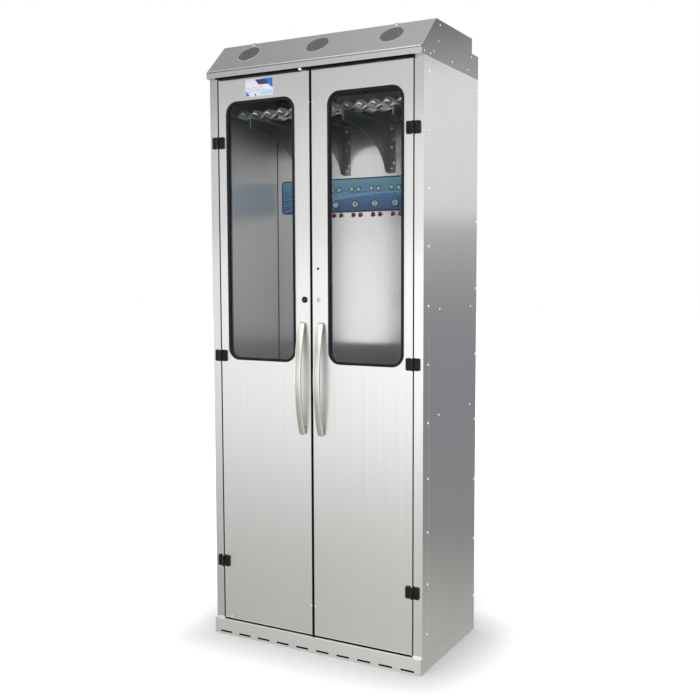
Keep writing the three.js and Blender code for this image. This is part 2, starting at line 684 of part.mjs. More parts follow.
function dryingPanel() {
  const height = PANEL_TOP - PANEL_BOTTOM;
  const middle = (PANEL_TOP + PANEL_BOTTOM) / 2;
  let housing = alongY(roundedRectangle(807, height, 14, 0, middle), PANEL_FACE, BACK_WALL - GAP, 4);
  for (let i = 0; i < CHANNELS; i++) {
    const x = (i - (CHANNELS - 1) / 2) * CHANNEL_PITCH;
    housing = cut(housing, rodY(BUTTON_RADIUS + 0.8, x, PANEL_FACE - 1, PANEL_FACE + 9, BUTTON_Z, 12));
    const button = rodY(BUTTON_RADIUS, x, PANEL_FACE - 2, PANEL_FACE + 6.5, BUTTON_Z, 12);
    piece(`channel_button_${i + 1}`, button, WHITE);
  }
  piece("drying_panel", housing, BLUE);
}

function airSupply() {
  const [first, last] = [fittingXs()[0], fittingXs().at(-1)];
  const stubs = fittingXs().map((x) => rodY(FITTING_RADIUS, x, BACK_WALL - 28, BACK_WALL + 12, FITTING_Z, 6));
  const bar = block(first - 16, last + 16, BACK_WALL + 8, BACK_WALL + 28, FITTING_Z - 12, FITTING_Z + 12);
  piece("air_manifold", join(bar, ...stubs), RED);
  const pumpBack = DEPTH - 2 * SHEET - 2 * GAP;
  const pump = join(
    block(150, 330, pumpBack - 56, pumpBack - 3, 1420, 1560),
    block(140, 340, pumpBack - 8, pumpBack, 1410, 1425),
    rodX(22, 330, 352, pumpBack - 30, 1490, 16),
    rodZ(5, 240, pumpBack - 30, 1555, 1600, 8),
  );
  piece("air_pump", pump, BLACK_PLASTIC);
}

function powerInlet() {
  const box = (halfX, halfZ, y0, y1) =>
    block(INLET_X - halfX, INLET_X + halfX, y0, y1, INLET_Z - halfZ, INLET_Z + halfZ);
  const inlet = cut(
    join(box(24, 17, TOP_BACK + GAP, TOP_BACK + 2.3), box(15, 12, TOP_BACK - 22, TOP_BACK + 1)),
    box(12, 9, TOP_BACK - 15, TOP_BACK + 4),
  );
  const pins = [-7, 0, 7].map((offset) => {
    const [x, z] = [INLET_X + offset, INLET_Z + (offset ? 0 : 4)];
    return block(x - 1, x + 1, TOP_BACK - 18, TOP_BACK, z - 2, z + 2);
  });
  piece("power_inlet", join(inlet, ...pins), BLACK_PLASTIC);
}

plinth();
frontFrame();
sidePanel("left_side_panel", -1);
sidePanel("right_side_panel", 1);
rearPanel();
liners();
floorAndCeiling();
hoodShell();
hoodHinge();
accessPanel();
fans();
hoodLatches();
door("left", -1);
door("right", 1);
lock();
brackets();
scopeRack();
dryingPanel();
airSupply();
powerInlet();

cabinet.position.y = -(DEPTH - HANDLE_REACH) / 2;

export default cabinet;
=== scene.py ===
"""The looks of a stainless steel endoscope drying cabinet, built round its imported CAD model."""

import math

import bmesh
import bpy
from mathutils import Matrix, Vector
from mathutils.geometry import delaunay_2d_cdt


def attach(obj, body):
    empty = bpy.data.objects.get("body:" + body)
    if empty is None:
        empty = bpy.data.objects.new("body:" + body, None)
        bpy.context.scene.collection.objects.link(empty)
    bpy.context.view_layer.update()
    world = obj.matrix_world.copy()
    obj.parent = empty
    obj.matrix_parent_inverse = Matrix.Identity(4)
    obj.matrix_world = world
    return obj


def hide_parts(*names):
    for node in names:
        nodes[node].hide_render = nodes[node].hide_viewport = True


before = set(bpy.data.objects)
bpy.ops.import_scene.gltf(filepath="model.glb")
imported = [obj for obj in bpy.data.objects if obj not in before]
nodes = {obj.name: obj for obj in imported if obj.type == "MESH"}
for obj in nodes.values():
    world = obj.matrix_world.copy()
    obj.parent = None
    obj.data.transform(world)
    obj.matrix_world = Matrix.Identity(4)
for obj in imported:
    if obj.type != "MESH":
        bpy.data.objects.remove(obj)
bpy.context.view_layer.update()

MM = 0.001
DOOR_FACE = -0.235  # the door faces' y in the row frame; drawings below count y from there, in millimetres
BODY_HALF, DOORS_HALF = 457.2, 418.5
REAR_FLANGE, REAR_PANEL = 512, 510.2  # the y of the back's folded edges and of the sheet between them
INNER_WALL = 441  # the y of the wall behind the rack and the drying panel
SILL_Z, LINTEL_Z = 66, 2200  # the doors' lower and upper edges
SLOPE_RUN, SLOPE_RISE = 123, 120
SLOPE_FOOT_Y, SLOPE_FOOT_Z = -21, 2230
SLOPE_ANGLE = math.atan2(SLOPE_RISE, SLOPE_RUN)
SLOPE_LENGTH = math.hypot(SLOPE_RISE, SLOPE_RUN)
LATCH_XS, LATCH_ALONG = (-308, 308), 161
VENT_XS, VENT_ALONG = (-307, 0, 307), 102
VENT_RINGS, HOLE_PITCH, HOLE_RADIUS = 7, 6.85, 3.3
WINDOW_WIDTH, WINDOW_HEIGHT, WINDOW_ROUND = 300, 987, 43
WINDOW_X, WINDOW_Z = 226, 1615.5
HINGE_X, HINGE_Y, HINGE_ZS = 417.75, -7, (300, 1131, 1961)
HANDLE_X, HANDLE_Z = 40.6, 1057.5
LOCK_X, LOCK_Z = 30.6, 1356
BRACKET_XS = (-309, -103, 103, 309)
RACK_PITCH, RACK_WAVES, RACK_BASE = 57.15, 14, 2058.3
CHANNEL_XS = [(i - 3.5) * 91.4 for i in range(8)]
PANEL_FACE, PANEL_Z = 428.9, 1776.5
BUTTON_Z, BUTTON_FACE = 1739, 427
ICON_Z, ICON_ASIDE = 1800, 16
FITTING_Z, FITTING_ASIDE = 1693, 16.5


def place(x, y, z):
    """Cabinet millimetres to row-frame metres."""
    return Vector((x * MM, y * MM + DOOR_FACE, z * MM))


def slope_matrix():
    """x across, y up the hood's slope and z out of it, in millimetres, to the row frame."""
    tilt = Matrix.Rotation(SLOPE_ANGLE, 4, "X")
    return Matrix.Translation(place(0, SLOPE_FOOT_Y, SLOPE_FOOT_Z)) @ tilt @ Matrix.Scale(MM, 4)


CABINET = Matrix.Translation((0, DOOR_FACE, 0)) @ Matrix.Scale(MM, 4)
SLOPE = slope_matrix()


# Materials


def feed(node, key, value):
    """Sets a node's input to a value, or links it to another node's output."""
    if isinstance(value, bpy.types.NodeSocket):
        node.id_data.links.new(value, node.inputs[key])
    else:
        node.inputs[key].default_value = value


def add(tree, kind, inputs=(), **settings):
    """A node with its settings and inputs."""
    n = tree.nodes.new(kind)
    for key, value in settings.items():
        setattr(n, key, value)
    for key, value in dict(inputs).items():
        feed(n, key, value)
    return n


def material(name, **sockets):
    """A principled material, its node tree and its shader."""
    m = bpy.data.materials.new(name)
    m.use_nodes = True
    tree = m.node_tree
    tree.nodes.clear()
    inputs = {key.replace("_", " "): value for key, value in sockets.items()}
    shader = add(tree, "ShaderNodeBsdfPrincipled", inputs)
    add(tree, "ShaderNodeOutputMaterial", {0: shader.outputs[0]})
    return m, tree, shader


def combine(tree, mode, *values):
    """One math node's result."""
    return add(tree, "ShaderNodeMath", dict(enumerate(values)), operation=mode).outputs[0]


def on_vectors(tree, mode, *values):
    """One vector math node's result."""
    n = add(tree, "ShaderNodeVectorMath", dict(enumerate(values)), operation=mode)
    return n.outputs["Value" if mode in ("LENGTH", "DOT_PRODUCT") else "Vector"]


def coordinates(tree, kind="Object"):
    """The place on the object, in metres, or another kind of texture coordinate."""
    return add(tree, "ShaderNodeTexCoord").outputs[kind]


def axes(tree, vector):
    """A vector's X, Y and Z."""
    return add(tree, "ShaderNodeSeparateXYZ", {0: vector}).outputs


def noise(tree, scale, stretch=(1, 1, 1), detail=3.0, rough=0.55, offset=(0, 0, 0)):
    """Noise on the object's own coordinates, with the scale in features per metre, times the stretch."""
    mapping = {"Vector": coordinates(tree), "Scale": stretch, "Location": offset}
    spot = add(tree, "ShaderNodeMapping", mapping).outputs[0]
    inputs = {"Vector": spot, "Scale": scale, "Detail": detail, "Roughness": rough}
    return add(tree, "ShaderNodeTexNoise", inputs).outputs["Fac"]


def spread(tree, value, low, high, start=0.3, end=0.7):
    """Maps start..end to low..high, clamped."""
    inputs = {"Value": value, "From Min": start, "From Max": end, "To Min": low, "To Max": high}
    return add(tree, "ShaderNodeMapRange", inputs).outputs["Result"]


def blend(tree, factor, a, b, **settings):
    """Two colours mixed, each of them three numbers or another node's output."""
    a, b = (c if isinstance(c, bpy.types.NodeSocket) else (*c, 1) for c in (a, b))
    inputs = {"Factor": factor, "A": a, "B": b}
    return add(tree, "ShaderNodeMix", inputs, data_type="RGBA", **settings).outputs["Result"]


def ramp(tree, value, stops):
    """A colour ramp's result, from stops of (position, three numbers)."""
    n = add(tree, "ShaderNodeValToRGB", {0: value})
    elements = n.color_ramp.elements
    elements.remove(elements[1])
    for k, (position, colour) in enumerate(stops):
        e = elements.new(position) if k else elements[0]
        e.position, e.color = position, (*colour, 1)
    return n.outputs[0]


def bump(tree, shader, height, strength, distance):
    """Small relief, with the distance in metres."""
    inputs = {"Height": height, "Strength": strength, "Distance": distance}
    feed(shader, "Normal", add(tree, "ShaderNodeBump", inputs).outputs[0])


# the noise's stretch for grain along each axis
GRAIN = {"X": (0.012, 1, 1), "Y": (1, 0.012, 1), "Z": (1, 1, 0.012)}


def steel(name, colour, dark=0.95, roughness=(0.2, 0.25), grain="Z", tangent="Z", anisotropic=0.9, streak=1.0,
          painted_side_shade=1.0, metallic=1.0, gloom=1.0):
    """Brushed sheet: fine grain one way, wider streaks along it, and faint cloudy handling marks.

    flank darkens the faces that look to either side, a painted shade on the sides. gloom darkens the
    shaded height above the rack, a painted shade.
    """
    m, tree, shader = material(name, Metallic=metallic, Anisotropic=anisotropic)
    stretch = GRAIN[grain]
    fine = noise(tree, 1400, stretch, 2.0)
    wide = noise(tree, 70, stretch, 5.0, 0.65, (3, 1, 2))
    cloud = noise(tree, 3.2, (1, 1, 1), 4.0, 0.6, (7, 5, 1))
    lines = combine(tree, "ADD", spread(tree, fine, 0.0, 0.3 * streak), spread(tree, wide, 0.0, 0.4 * streak))
    marks = combine(tree, "ADD", lines, spread(tree, cloud, 0.0, 0.3))
    feed(shader, "Roughness", spread(tree, marks, *roughness, 0.0, 1.0))
    facing = axes(tree, coordinates(tree, "Normal"))
    # painted shade: the faces that look to either side and the height above the rack take a darker colour
    side_shading = spread(tree, combine(tree, "ABSOLUTE", facing["X"]), 1, painted_side_shade, 0.8, 0.95)
    high = spread(tree, axes(tree, coordinates(tree))["Z"], 1, gloom, 1.93, 2.07)
    tint = blend(tree, marks, colour, tuple(c * dark for c in colour))
    dimmed = on_vectors(tree, "MULTIPLY", tint, combine(tree, "MULTIPLY", side_shading, high))
    feed(shader, "Base Color", dimmed)
    # the radial tangent has no direction on faces that look up or down, so those take the one about x
    level = spread(tree, combine(tree, "ABSOLUTE", facing["Z"]), 0, 1, 0.45, 0.55)
    turn, tilt = (
        add(tree, "ShaderNodeTangent", direction_type="RADIAL", axis=axis).outputs[0]
        for axis in (tangent, "X")
    )
    choose = add(tree, "ShaderNodeMix", {"Factor": level, 4: turn, 5: tilt}, data_type="VECTOR")
    feed(shader, "Tangent", choose.outputs[1])
    bump(tree, shader, fine, 0.05, 0.0001)
    return m


def polished(name, colour, roughness, metallic=1.0):
    """Bright metal with a faint haze."""
    m, tree, shader = material(name, Metallic=metallic)
    haze = noise(tree, 60, (1, 1, 1), 5.0)
    feed(shader, "Base Color", blend(tree, haze, colour, tuple(c * 0.9 for c in colour)))
    feed(shader, "Roughness", spread(tree, haze, *roughness))
    bump(tree, shader, noise(tree, 900, (1, 1, 0.2)), 0.04, 0.0001)
    return m


def moulded(name, colour, worn, roughness, scale=1500, strength=0.25, gloss=0.5):
    """Plastic, rubber or paint: a fine surface texture, and slight variation in tone and gloss."""
    m, tree, shader = material(name, Specular_IOR_Level=gloss)
    cloud = noise(tree, 40, (1, 1, 1), 4.0)
    feed(shader, "Base Color", blend(tree, spread(tree, cloud, 0, 1), colour, worn))
    feed(shader, "Roughness", spread(tree, cloud, *roughness))
    bump(tree, shader, noise(tree, scale, (1, 1, 1), 2.0), strength, 0.0001)
    return m


def clear_glass():
    """Thin glass that lets most light through, with a faint film on it."""
    m, tree, shader = material("window_glass", Alpha=0.06, IOR=1.5)
    film = noise(tree, 9, (1, 1, 0.5), 5.0)
    feed(shader, "Base Color", blend(tree, film, (0.02, 0.028, 0.03), (0.035, 0.042, 0.045)))
    feed(shader, "Roughness", spread(tree, film, 0.02, 0.06))
    return m


def filter_media():
    """The filter's white fibre."""
    m, tree, shader = material("filter_media")
    fibre = noise(tree, 700, (1, 1, 1), 5.0)
    feed(shader, "Base Color", blend(tree, fibre, (0.78, 0.78, 0.74), (0.6, 0.6, 0.56)))
    feed(shader, "Roughness", spread(tree, fibre, 0.85, 0.97))
    bump(tree, shader, fibre, 0.5, 0.0005)
    return m


# (height at the left, slope, curve, half width) of each light line, in metres
SWOOSHES = (
    (1.700, 0.30, -0.28, 0.0022), (1.709, 0.34, -0.30, 0.0016), (1.716, 0.22, -0.17, 0.0026),
    (1.730, 0.20, -0.16, 0.0014), (1.742, 0.13, -0.10, 0.0022), (1.752, 0.16, -0.14, 0.0012),
    (1.768, 0.05, -0.04, 0.0018),
)


def panel_print():
    """The overlay's print: pale teal at the top to deep blue below, crossed by light swooshes."""
    m, tree, shader = material("panel_print", Coat_Weight=0.3, Coat_Roughness=0.12)
    x, _, z = axes(tree, coordinates(tree))
    deep, middle, pale = (0.022, 0.07, 0.21), (0.05, 0.17, 0.36), (0.15, 0.36, 0.46)
    ground = ramp(tree, spread(tree, z, 0, 1, 1.712, 1.841), [(0.0, deep), (0.45, middle), (1.0, pale)])
    along = combine(tree, "ADD", x, 0.4)
    total = None
    for start, slope, curve, width in SWOOSHES:
        bend = combine(tree, "MULTIPLY_ADD", along, curve, slope)
        rise = combine(tree, "MULTIPLY_ADD", along, bend, start)
        off = combine(tree, "ABSOLUTE", combine(tree, "SUBTRACT", z, rise))
        line = spread(tree, off, 1, 0, 0, width)
        total = line if total is None else combine(tree, "MAXIMUM", total, line)
    share = combine(tree, "MULTIPLY", total, spread(tree, along, 0.55, 0.1, 0.05, 0.75))
    feed(shader, "Base Color", blend(tree, share, ground, (0.5, 0.68, 0.8)))
    feed(shader, "Roughness", spread(tree, noise(tree, 300), 0.3, 0.42))
    bump(tree, shader, noise(tree, 1200, detail=2.0), 0.08, 0.0001)
    return m


DOOR_STEEL = steel("door_steel", (0.81, 0.81, 0.805), 0.92, roughness=(0.21, 0.26), anisotropic=0.96)
BODY_STEEL = steel("body_steel", (0.79, 0.79, 0.785), 0.94, (0.16, 0.21), anisotropic=0.95)
# the inner wall and the liners take gloom, a painted shade above the rack
INNER_STEEL = steel("inner_steel", (0.9, 0.905, 0.91), 0.95, (0.15, 0.2), anisotropic=0.92,
                    metallic=0.9, gloom=0.3)
LINER_STEEL = steel("liner_steel", (0.84, 0.845, 0.845), 0.92, (0.36, 0.42), anisotropic=0.9, streak=0.3,
                    metallic=0.7, gloom=0.3)
# the ceiling's steel near black, a painted shade over the inside
SHADED_CEILING_STEEL = steel("shaded_ceiling_steel", (0.12, 0.125, 0.135), 0.9, (0.4, 0.5), "Y", "X", 0.3)
HOOD_STEEL = steel("hood_steel", (0.77, 0.775, 0.755), 0.93, (0.26, 0.34), "X", "X", 0.8)
# flank here paints shade on the hood's sides
SHELL_STEEL = steel("hood_shell_steel", (0.68, 0.69, 0.69), 0.93, (0.2, 0.27), "X", "Z", 0.85, painted_side_shade=0.55)
PLINTH_STEEL = steel("plinth_steel", (0.86, 0.86, 0.855), 0.93, (0.26, 0.34), "X", "Z", 0.4)
# steel darkened as painted shade for the brackets under the ceiling; also their rims and the blank cap's
# groove
SHADED_BRACKET_STEEL = steel("shaded_bracket_steel", (0.34, 0.35, 0.36), 0.85, (0.3, 0.42), "Y", "X", 0.5)
# the reveal's steel darkened as painted shade behind the glass; also used for the lock's key face
SHADED_REVEAL_STEEL = steel("shaded_reveal_steel", (0.2, 0.205, 0.21), 0.9, (0.35, 0.45), anisotropic=0.4)
RACK_STEEL = polished("rack_steel", (0.96, 0.96, 0.955), (0.05, 0.1), 0.85)
BRIGHT_STEEL = polished("bright_steel", (0.86, 0.87, 0.88), (0.07, 0.14))
SCREW_STEEL = polished("screw_steel", (0.94, 0.94, 0.94), (0.2, 0.3), 0.4)
NICKEL = steel("satin_nickel", (0.74, 0.72, 0.675), 0.93, (0.26, 0.34), "Z", "Z", 0.5, 0.6)
HINGE_BLACK = moulded("hinge_black", (0.008, 0.008, 0.01), (0.014, 0.014, 0.017),
                      (0.25, 0.35), 900, 0.2, gloss=0.1)
RUBBER = moulded("black_rubber", (0.008, 0.008, 0.011), (0.014, 0.014, 0.018),
                 (0.3, 0.42), 1300, 0.15, gloss=0.14)
BLACK_PLASTIC = moulded("black_plastic", (0.012, 0.012, 0.014), (0.02, 0.02, 0.022), (0.42, 0.55), gloss=0.25)
# near black for the seals, and for strips that stand in gaps and recesses as painted shade
SEAL_AND_SHADE_BLACK = moulded("seal_and_shade_black", (0.002, 0.002, 0.003), (0.004, 0.004, 0.005),
                     (0.6, 0.7), 1300, 0.1, gloss=0.05)
WHITE_PLASTIC = moulded("white_plastic", (0.72, 0.75, 0.76), (0.66, 0.69, 0.7), (0.28, 0.38), 1500, 0.1)
CLEAR_BUMPER = moulded("clear_bumper", (0.62, 0.63, 0.64), (0.54, 0.55, 0.56), (0.1, 0.2), 500, 0.05)
RED_PLASTIC = moulded("fitting_red", (0.3, 0.008, 0.02), (0.2, 0.006, 0.014), (0.25, 0.35), 1200, 0.12)
PANEL_EDGE = moulded("panel_edge", (0.01, 0.013, 0.02), (0.016, 0.02, 0.03), (0.3, 0.4), 1200, 0.1)
PRINT_NAVY = moulded("print_navy", (0.008, 0.022, 0.06), (0.012, 0.03, 0.075), (0.35, 0.45), 1200, 0.05)
PRINT_PALE = moulded("print_pale", (0.5, 0.62, 0.55), (0.44, 0.56, 0.5), (0.35, 0.45), 1200, 0.05)
PRINT_GREEN = moulded("print_green", (0.5, 0.5, 0.2), (0.42, 0.43, 0.17), (0.35, 0.45), 1200, 0.05)
PRINT_BLUE = moulded("print_blue", (0.01, 0.1, 0.42), (0.012, 0.08, 0.36), (0.3, 0.4), 1200, 0.05)
LABEL_WHITE = moulded("label_white", (0.52, 0.53, 0.55), (0.48, 0.49, 0.52), (0.35, 0.45), 1200, 0.06)
LABEL_SKY = moulded("label_sky", (0.26, 0.46, 0.6), (0.23, 0.42, 0.56), (0.35, 0.45), 1200, 0.06)
LABEL_GREY = moulded("label_grey", (0.16, 0.2, 0.32), (0.12, 0.16, 0.27), (0.35, 0.45), 1200, 0.06)
PANEL_PRINT = panel_print()
GLASS = clear_glass()
FILTER = filter_media()


# CAD nodes that stay


def keep(name, look, edge):
    """Gives a CAD node its material, and its sheet edges a small round."""
    o = nodes[name]
    o.data.materials.clear()
    o.data.materials.append(look)
    with bpy.context.temp_override(object=o, active_object=o, selected_objects=[o]):
        bpy.ops.mesh.customdata_custom_splitnormals_clear()
    o.data.polygons.foreach_set("use_smooth", [True] * len(o.data.polygons))
    weld = o.modifiers.new("weld", "WELD")
    weld.merge_threshold = 1e-5
    flat = o.modifiers.new("flat", "DECIMATE")
    flat.decimate_type = "DISSOLVE"
    flat.angle_limit = math.radians(0.5)
    if edge:
        round_off = o.modifiers.new("edges", "BEVEL")
        round_off.width = edge * MM
        round_off.segments = 2
        round_off.limit_method = "ANGLE"
        round_off.angle_limit = math.radians(35)
    normals = o.modifiers.new("normals", "WEIGHTED_NORMAL")
    normals.keep_sharp = False


# each node's material, and the round on its edges in millimetres
KEPT = {
    "plinth": (PLINTH_STEEL, 0.9), "floor_panel": (INNER_STEEL, 0.3), "left_side_panel": (BODY_STEEL, 0.6),
    "right_side_panel": (BODY_STEEL, 0.6), "front_frame": (BODY_STEEL, 1.2), "rear_panel": (BODY_STEEL, 0.3),
    "left_liner": (LINER_STEEL, 0.4), "right_liner": (LINER_STEEL, 0.4),
    "inner_back_wall": (INNER_STEEL, 0.2), "ceiling_panel": (SHADED_CEILING_STEEL, 0.3),
    "hood_shell": (SHELL_STEEL, 0.8), "hepa_filter": (FILTER, 1.0),
    "power_inlet": (BLACK_PLASTIC, 0.5), "air_pump": (BLACK_PLASTIC, 2.0), "drying_panel": (PANEL_EDGE, 0.8),
    "fan_frame": (BLACK_PLASTIC, 0.5), "lock_sleeve": (HINGE_BLACK, 0.5), "lock_plug": (HINGE_BLACK, 0.3),
    "left_door_skin": (DOOR_STEEL, 1.2), "right_door_skin": (DOOR_STEEL, 1.2),
    "left_window_glass": (GLASS, 0), "right_window_glass": (GLASS, 0),
    "hood_latch_left": (BRIGHT_STEEL, 0.5), "hood_latch_right": (BRIGHT_STEEL, 0.5),
}
for side in ("left", "right"):
    for number in (1, 2, 3):
        KEPT[f"{side}_hinge_{number}_frame_leaf"] = (HINGE_BLACK, 0.6)
        KEPT[f"{side}_hinge_{number}_door_leaf"] = (HINGE_BLACK, 0.6)
for number in (1, 2, 3):
    KEPT[f"fan_rotor_{number}"] = (BLACK_PLASTIC, 0.3)
for number in (1, 2, 3, 4):
    KEPT[f"rack_bracket_{number}"] = (SHADED_BRACKET_STEEL, 0.3)
for number in range(1, 9):
    KEPT[f"channel_button_{number}"] = (WHITE_PLASTIC, 0.5)
for name, (look, edge) in KEPT.items():
    keep(name, look, edge)


# Building pieces


def finish_piece(bm, name, look, body, matrix=CABINET, sharp=35):
    """Makes an object of a mesh drawn in millimetres, with edges above the sharp angle kept crisp."""
    bmesh.ops.recalc_face_normals(bm, faces=bm.faces)
    mesh = bpy.data.meshes.new(name)
    bm.to_mesh(mesh)
    bm.free()
    mesh.transform(matrix)
    mesh.polygons.foreach_set("use_smooth", [True] * len(mesh.polygons))
    mesh.set_sharp_from_angle(angle=math.radians(sharp))
    mesh.materials.append(look)
    o = bpy.data.objects.new(name, mesh)
    bpy.context.scene.collection.objects.link(o)
    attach(o, body)
    return o


def toward(point, axis):
    """A placement whose z runs along axis, at a point."""
    return Matrix.Translation(Vector(point)) @ Vector(axis).to_track_quat("Z", "Y").to_matrix().to_4x4()


def forward(x, y, z):
    """A placement whose z comes out of the front, at a point."""
    return toward((x, y, z), (0, -1, 0))


def backward(x, y, z):
    """A placement whose z goes out of the back, at a point."""
    return toward((x, y, z), (0, 1, 0))


def rings_to_faces(bm, rings):
    """Joins rings of vertices with quads. A ring of one vertex is a tip."""
    for a, b in zip(rings, rings[1:]):
        count = max(len(a), len(b))
        for i in range(count):
            j = (i + 1) % count
            corners = [a[i % len(a)], a[j % len(a)], b[j % len(b)], b[i % len(b)]]
            unique = list(dict.fromkeys(corners))
            if len(unique) > 2:
                bm.faces.new(unique)


def lathe(bm, profile, where, segments=24, wobble=None):
    """Turns (radius, height) points about z. wobble(ring, angle) may scale a ring's radius."""
    rings = []
    for k, (radius, height) in enumerate(profile):
        if radius == 0:
            rings.append([bm.verts.new(where @ Vector((0, 0, height)))])
            continue
        ring = []
        for i in range(segments):
            angle = 2 * math.pi * i / segments
            r = radius * (wobble(k, angle) if wobble else 1)
            ring.append(bm.verts.new(where @ Vector((r * math.cos(angle), r * math.sin(angle), height))))
        rings.append(ring)
    rings_to_faces(bm, rings)


def box(bm, x0, x1, y0, y1, z0, z1, round_off=0.0, segments=2):
    """A block with rounded edges."""
    made = bmesh.ops.create_cube(bm, size=1)
    size = Vector((x1 - x0, y1 - y0, z1 - z0))
    middle = Vector(((x0 + x1) / 2, (y0 + y1) / 2, (z0 + z1) / 2))
    bmesh.ops.scale(bm, vec=size, verts=made["verts"])
    bmesh.ops.translate(bm, vec=middle, verts=made["verts"])
    if round_off:
        edges = list({e for v in made["verts"] for e in v.link_edges})
        bmesh.ops.bevel(bm, geom=edges, offset=round_off, segments=segments, profile=0.5, affect="EDGES")


def screw(bm, where, radius=4.6, rise=2.4):
    """A pan head with a cross recess."""
    r = radius
    profile = [
        (r * 0.98, -0.2), (r, rise * 0.35), (r * 0.88, rise * 0.75), (r * 0.66, rise * 0.95), (r * 0.5, rise),
        (r * 0.46, rise * 0.98), (r * 0.36, rise * 0.45), (0, rise * 0.4),
    ]
    recess = (5, 6)

    def cross(ring, angle):
        return 0.36 + 0.64 * abs(math.cos(2 * angle)) ** 3 if ring in recess else 1

    lathe(bm, profile, where, 16, cross)


def rivet(bm, where, radius=4.4, rise=1.8):
    """A blind rivet: a domed head with a dimple."""
    profile = [
        (radius, -0.2), (radius, 0.1), (radius * 0.8, rise * 0.75), (radius * 0.45, rise),
        (radius * 0.32, rise * 0.9), (radius * 0.28, rise * 0.55), (0, rise * 0.5),
    ]
    lathe(bm, profile, where, 14)


def rounded_path(width, height, radius, x, z, segments):
    """Points and outward normals round a rounded rectangle in x and z."""
    path = []
    for turn, (sx, sz) in enumerate(((1, 1), (-1, 1), (-1, -1), (1, -1))):
        for i in range(segments + 1):
            a = math.pi / 2 * (turn + i / segments)
            n = (math.cos(a), math.sin(a))
            corner = (x + sx * (width / 2 - radius), z + sz * (height / 2 - radius))
            path.append((corner[0] + n[0] * radius, corner[1] + n[1] * radius, n))
    return path


def plate_with_holes(bm, outline, holes, z=0.0, thickness=0.0):
    """A flat plate in x and y with holes, each a list of points; the thickness goes down from z."""
    points, edges, centres = [], [], []
    for loop in [outline, *holes]:
        first = len(points)
        points += [Vector(p) for p in loop]
        edges += [(first + i, first + (i + 1) % len(loop)) for i in range(len(loop))]
    for loop in holes:
        c = sum((Vector(p) for p in loop), Vector((0, 0))) / len(loop)
        centres.append((c, (Vector(loop[0]) - c).length))
    found, _, faces, *_ = delaunay_2d_cdt(points, edges, [], 1, 1e-5)
    cell = 20.0
    near = {}
    for c, r in centres:
        near.setdefault((round(c.x / cell), round(c.y / cell)), []).append((c, r))

    def in_hole(p):
        i, j = round(p.x / cell), round(p.y / cell)
        cells = [(i + a, j + b) for a in (-1, 0, 1) for b in (-1, 0, 1)]
        return any((p - c).length < r * 0.97 for k in cells for c, r in near.get(k, ()))

    verts = [bm.verts.new((p.x, p.y, z)) for p in found]
    kept = []
    for f in faces:
        middle = sum((found[i] for i in f), Vector((0, 0))) / len(f)
        if not in_hole(middle):
            kept.append(bm.faces.new([verts[i] for i in f]))
    loose = [v for v in verts if not v.link_faces]
    bmesh.ops.delete(bm, geom=loose, context="VERTS")
    if thickness:
        walls = bmesh.ops.extrude_face_region(bm, geom=kept)
        moved = [g for g in walls["geom"] if isinstance(g, bmesh.types.BMVert)]
        bmesh.ops.translate(bm, vec=(0, 0, -thickness), verts=moved)


def circle(x, y, radius, segments):
    """A circle's points, for plate_with_holes."""
    step = 2 * math.pi / segments
    return [(x + radius * math.cos(i * step), y + radius * math.sin(i * step)) for i in range(segments)]


# Hood


def perforated_panel():
    """The hood's sloping cover: small holes in rings at each vent, and a hole for each latch."""
    bm = bmesh.new()
    holes = []
    for vent in VENT_XS:
        for ring in range(VENT_RINGS):
            count = max(1, 6 * ring)
            for i in range(count):
                turn = 2 * math.pi * i / count + ring * 0.26
                out = HOLE_PITCH * ring
                dx, dy = out * math.cos(turn), out * math.sin(turn)
                holes.append(circle(vent + dx, VENT_ALONG + dy, HOLE_RADIUS, 10))
    for x in LATCH_XS:
        holes.append(circle(x, LATCH_ALONG, 4, 12))
    half, low, high = BODY_HALF, 6.2, SLOPE_LENGTH - 1.3
    plate_with_holes(bm, [(-half, low), (half, low), (half, high), (-half, high)], holes, 0, 1.2)
    o = finish_piece(bm, "perforated_access_panel", HOOD_STEEL, "hood_panel", SLOPE)
    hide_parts("hood_access_panel")


def vent_rims():
    """The pressed ring round each perforated field."""
    bm = bmesh.new()
    for vent in VENT_XS:
        where = Matrix.Translation((vent, VENT_ALONG, 0))
        lathe(bm, [(45, -0.3), (45.2, 0.25), (46.2, 0.6), (47.4, 0.25), (47.8, -0.3)], where, 48)
    finish_piece(bm, "vent_rims", HOOD_STEEL, "hood_panel", SLOPE)


def piano_hinge():
    """Knuckles in turn on the hood and on the panel, along one pin, with a leaf on each side."""
    knuckles, half = 70, BODY_HALF - 2.5
    pitch = 2 * half / knuckles
    along, out = 2.5, 0.5
    axis_y = SLOPE_FOOT_Y + along * math.cos(SLOPE_ANGLE) - out * math.sin(SLOPE_ANGLE)
    axis_z = SLOPE_FOOT_Z + along * math.sin(SLOPE_ANGLE) + out * math.cos(SLOPE_ANGLE)
    profile = [(0, 0.2), (2.5, 0.2), (2.95, 0.6), (2.95, pitch - 0.6), (2.5, pitch - 0.2), (0, pitch - 0.2)]
    fixed, moving = bmesh.new(), bmesh.new()
    for i in range(knuckles):
        x = -half + i * pitch
        if i % 2:
            lathe(moving, profile, toward((x, along, out), (1, 0, 0)), 12)
        else:
            lathe(fixed, profile, toward((x, axis_y, axis_z), (1, 0, 0)), 12)
    box(fixed, -half, half, -19.2, -17.7, 2211, 2228.4, 0.3, 1)
    box(moving, -half, half, 6.2, 22, -3.8, -2.3, 0.3, 1)
    lower = finish_piece(fixed, "piano_hinge_fixed", BRIGHT_STEEL, "cabinet")
    upper = finish_piece(moving, "piano_hinge_moving", BRIGHT_STEEL, "hood_panel", SLOPE)
    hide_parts("hood_hinge_fixed_leaf")
    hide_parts("hood_hinge_moving_leaf")


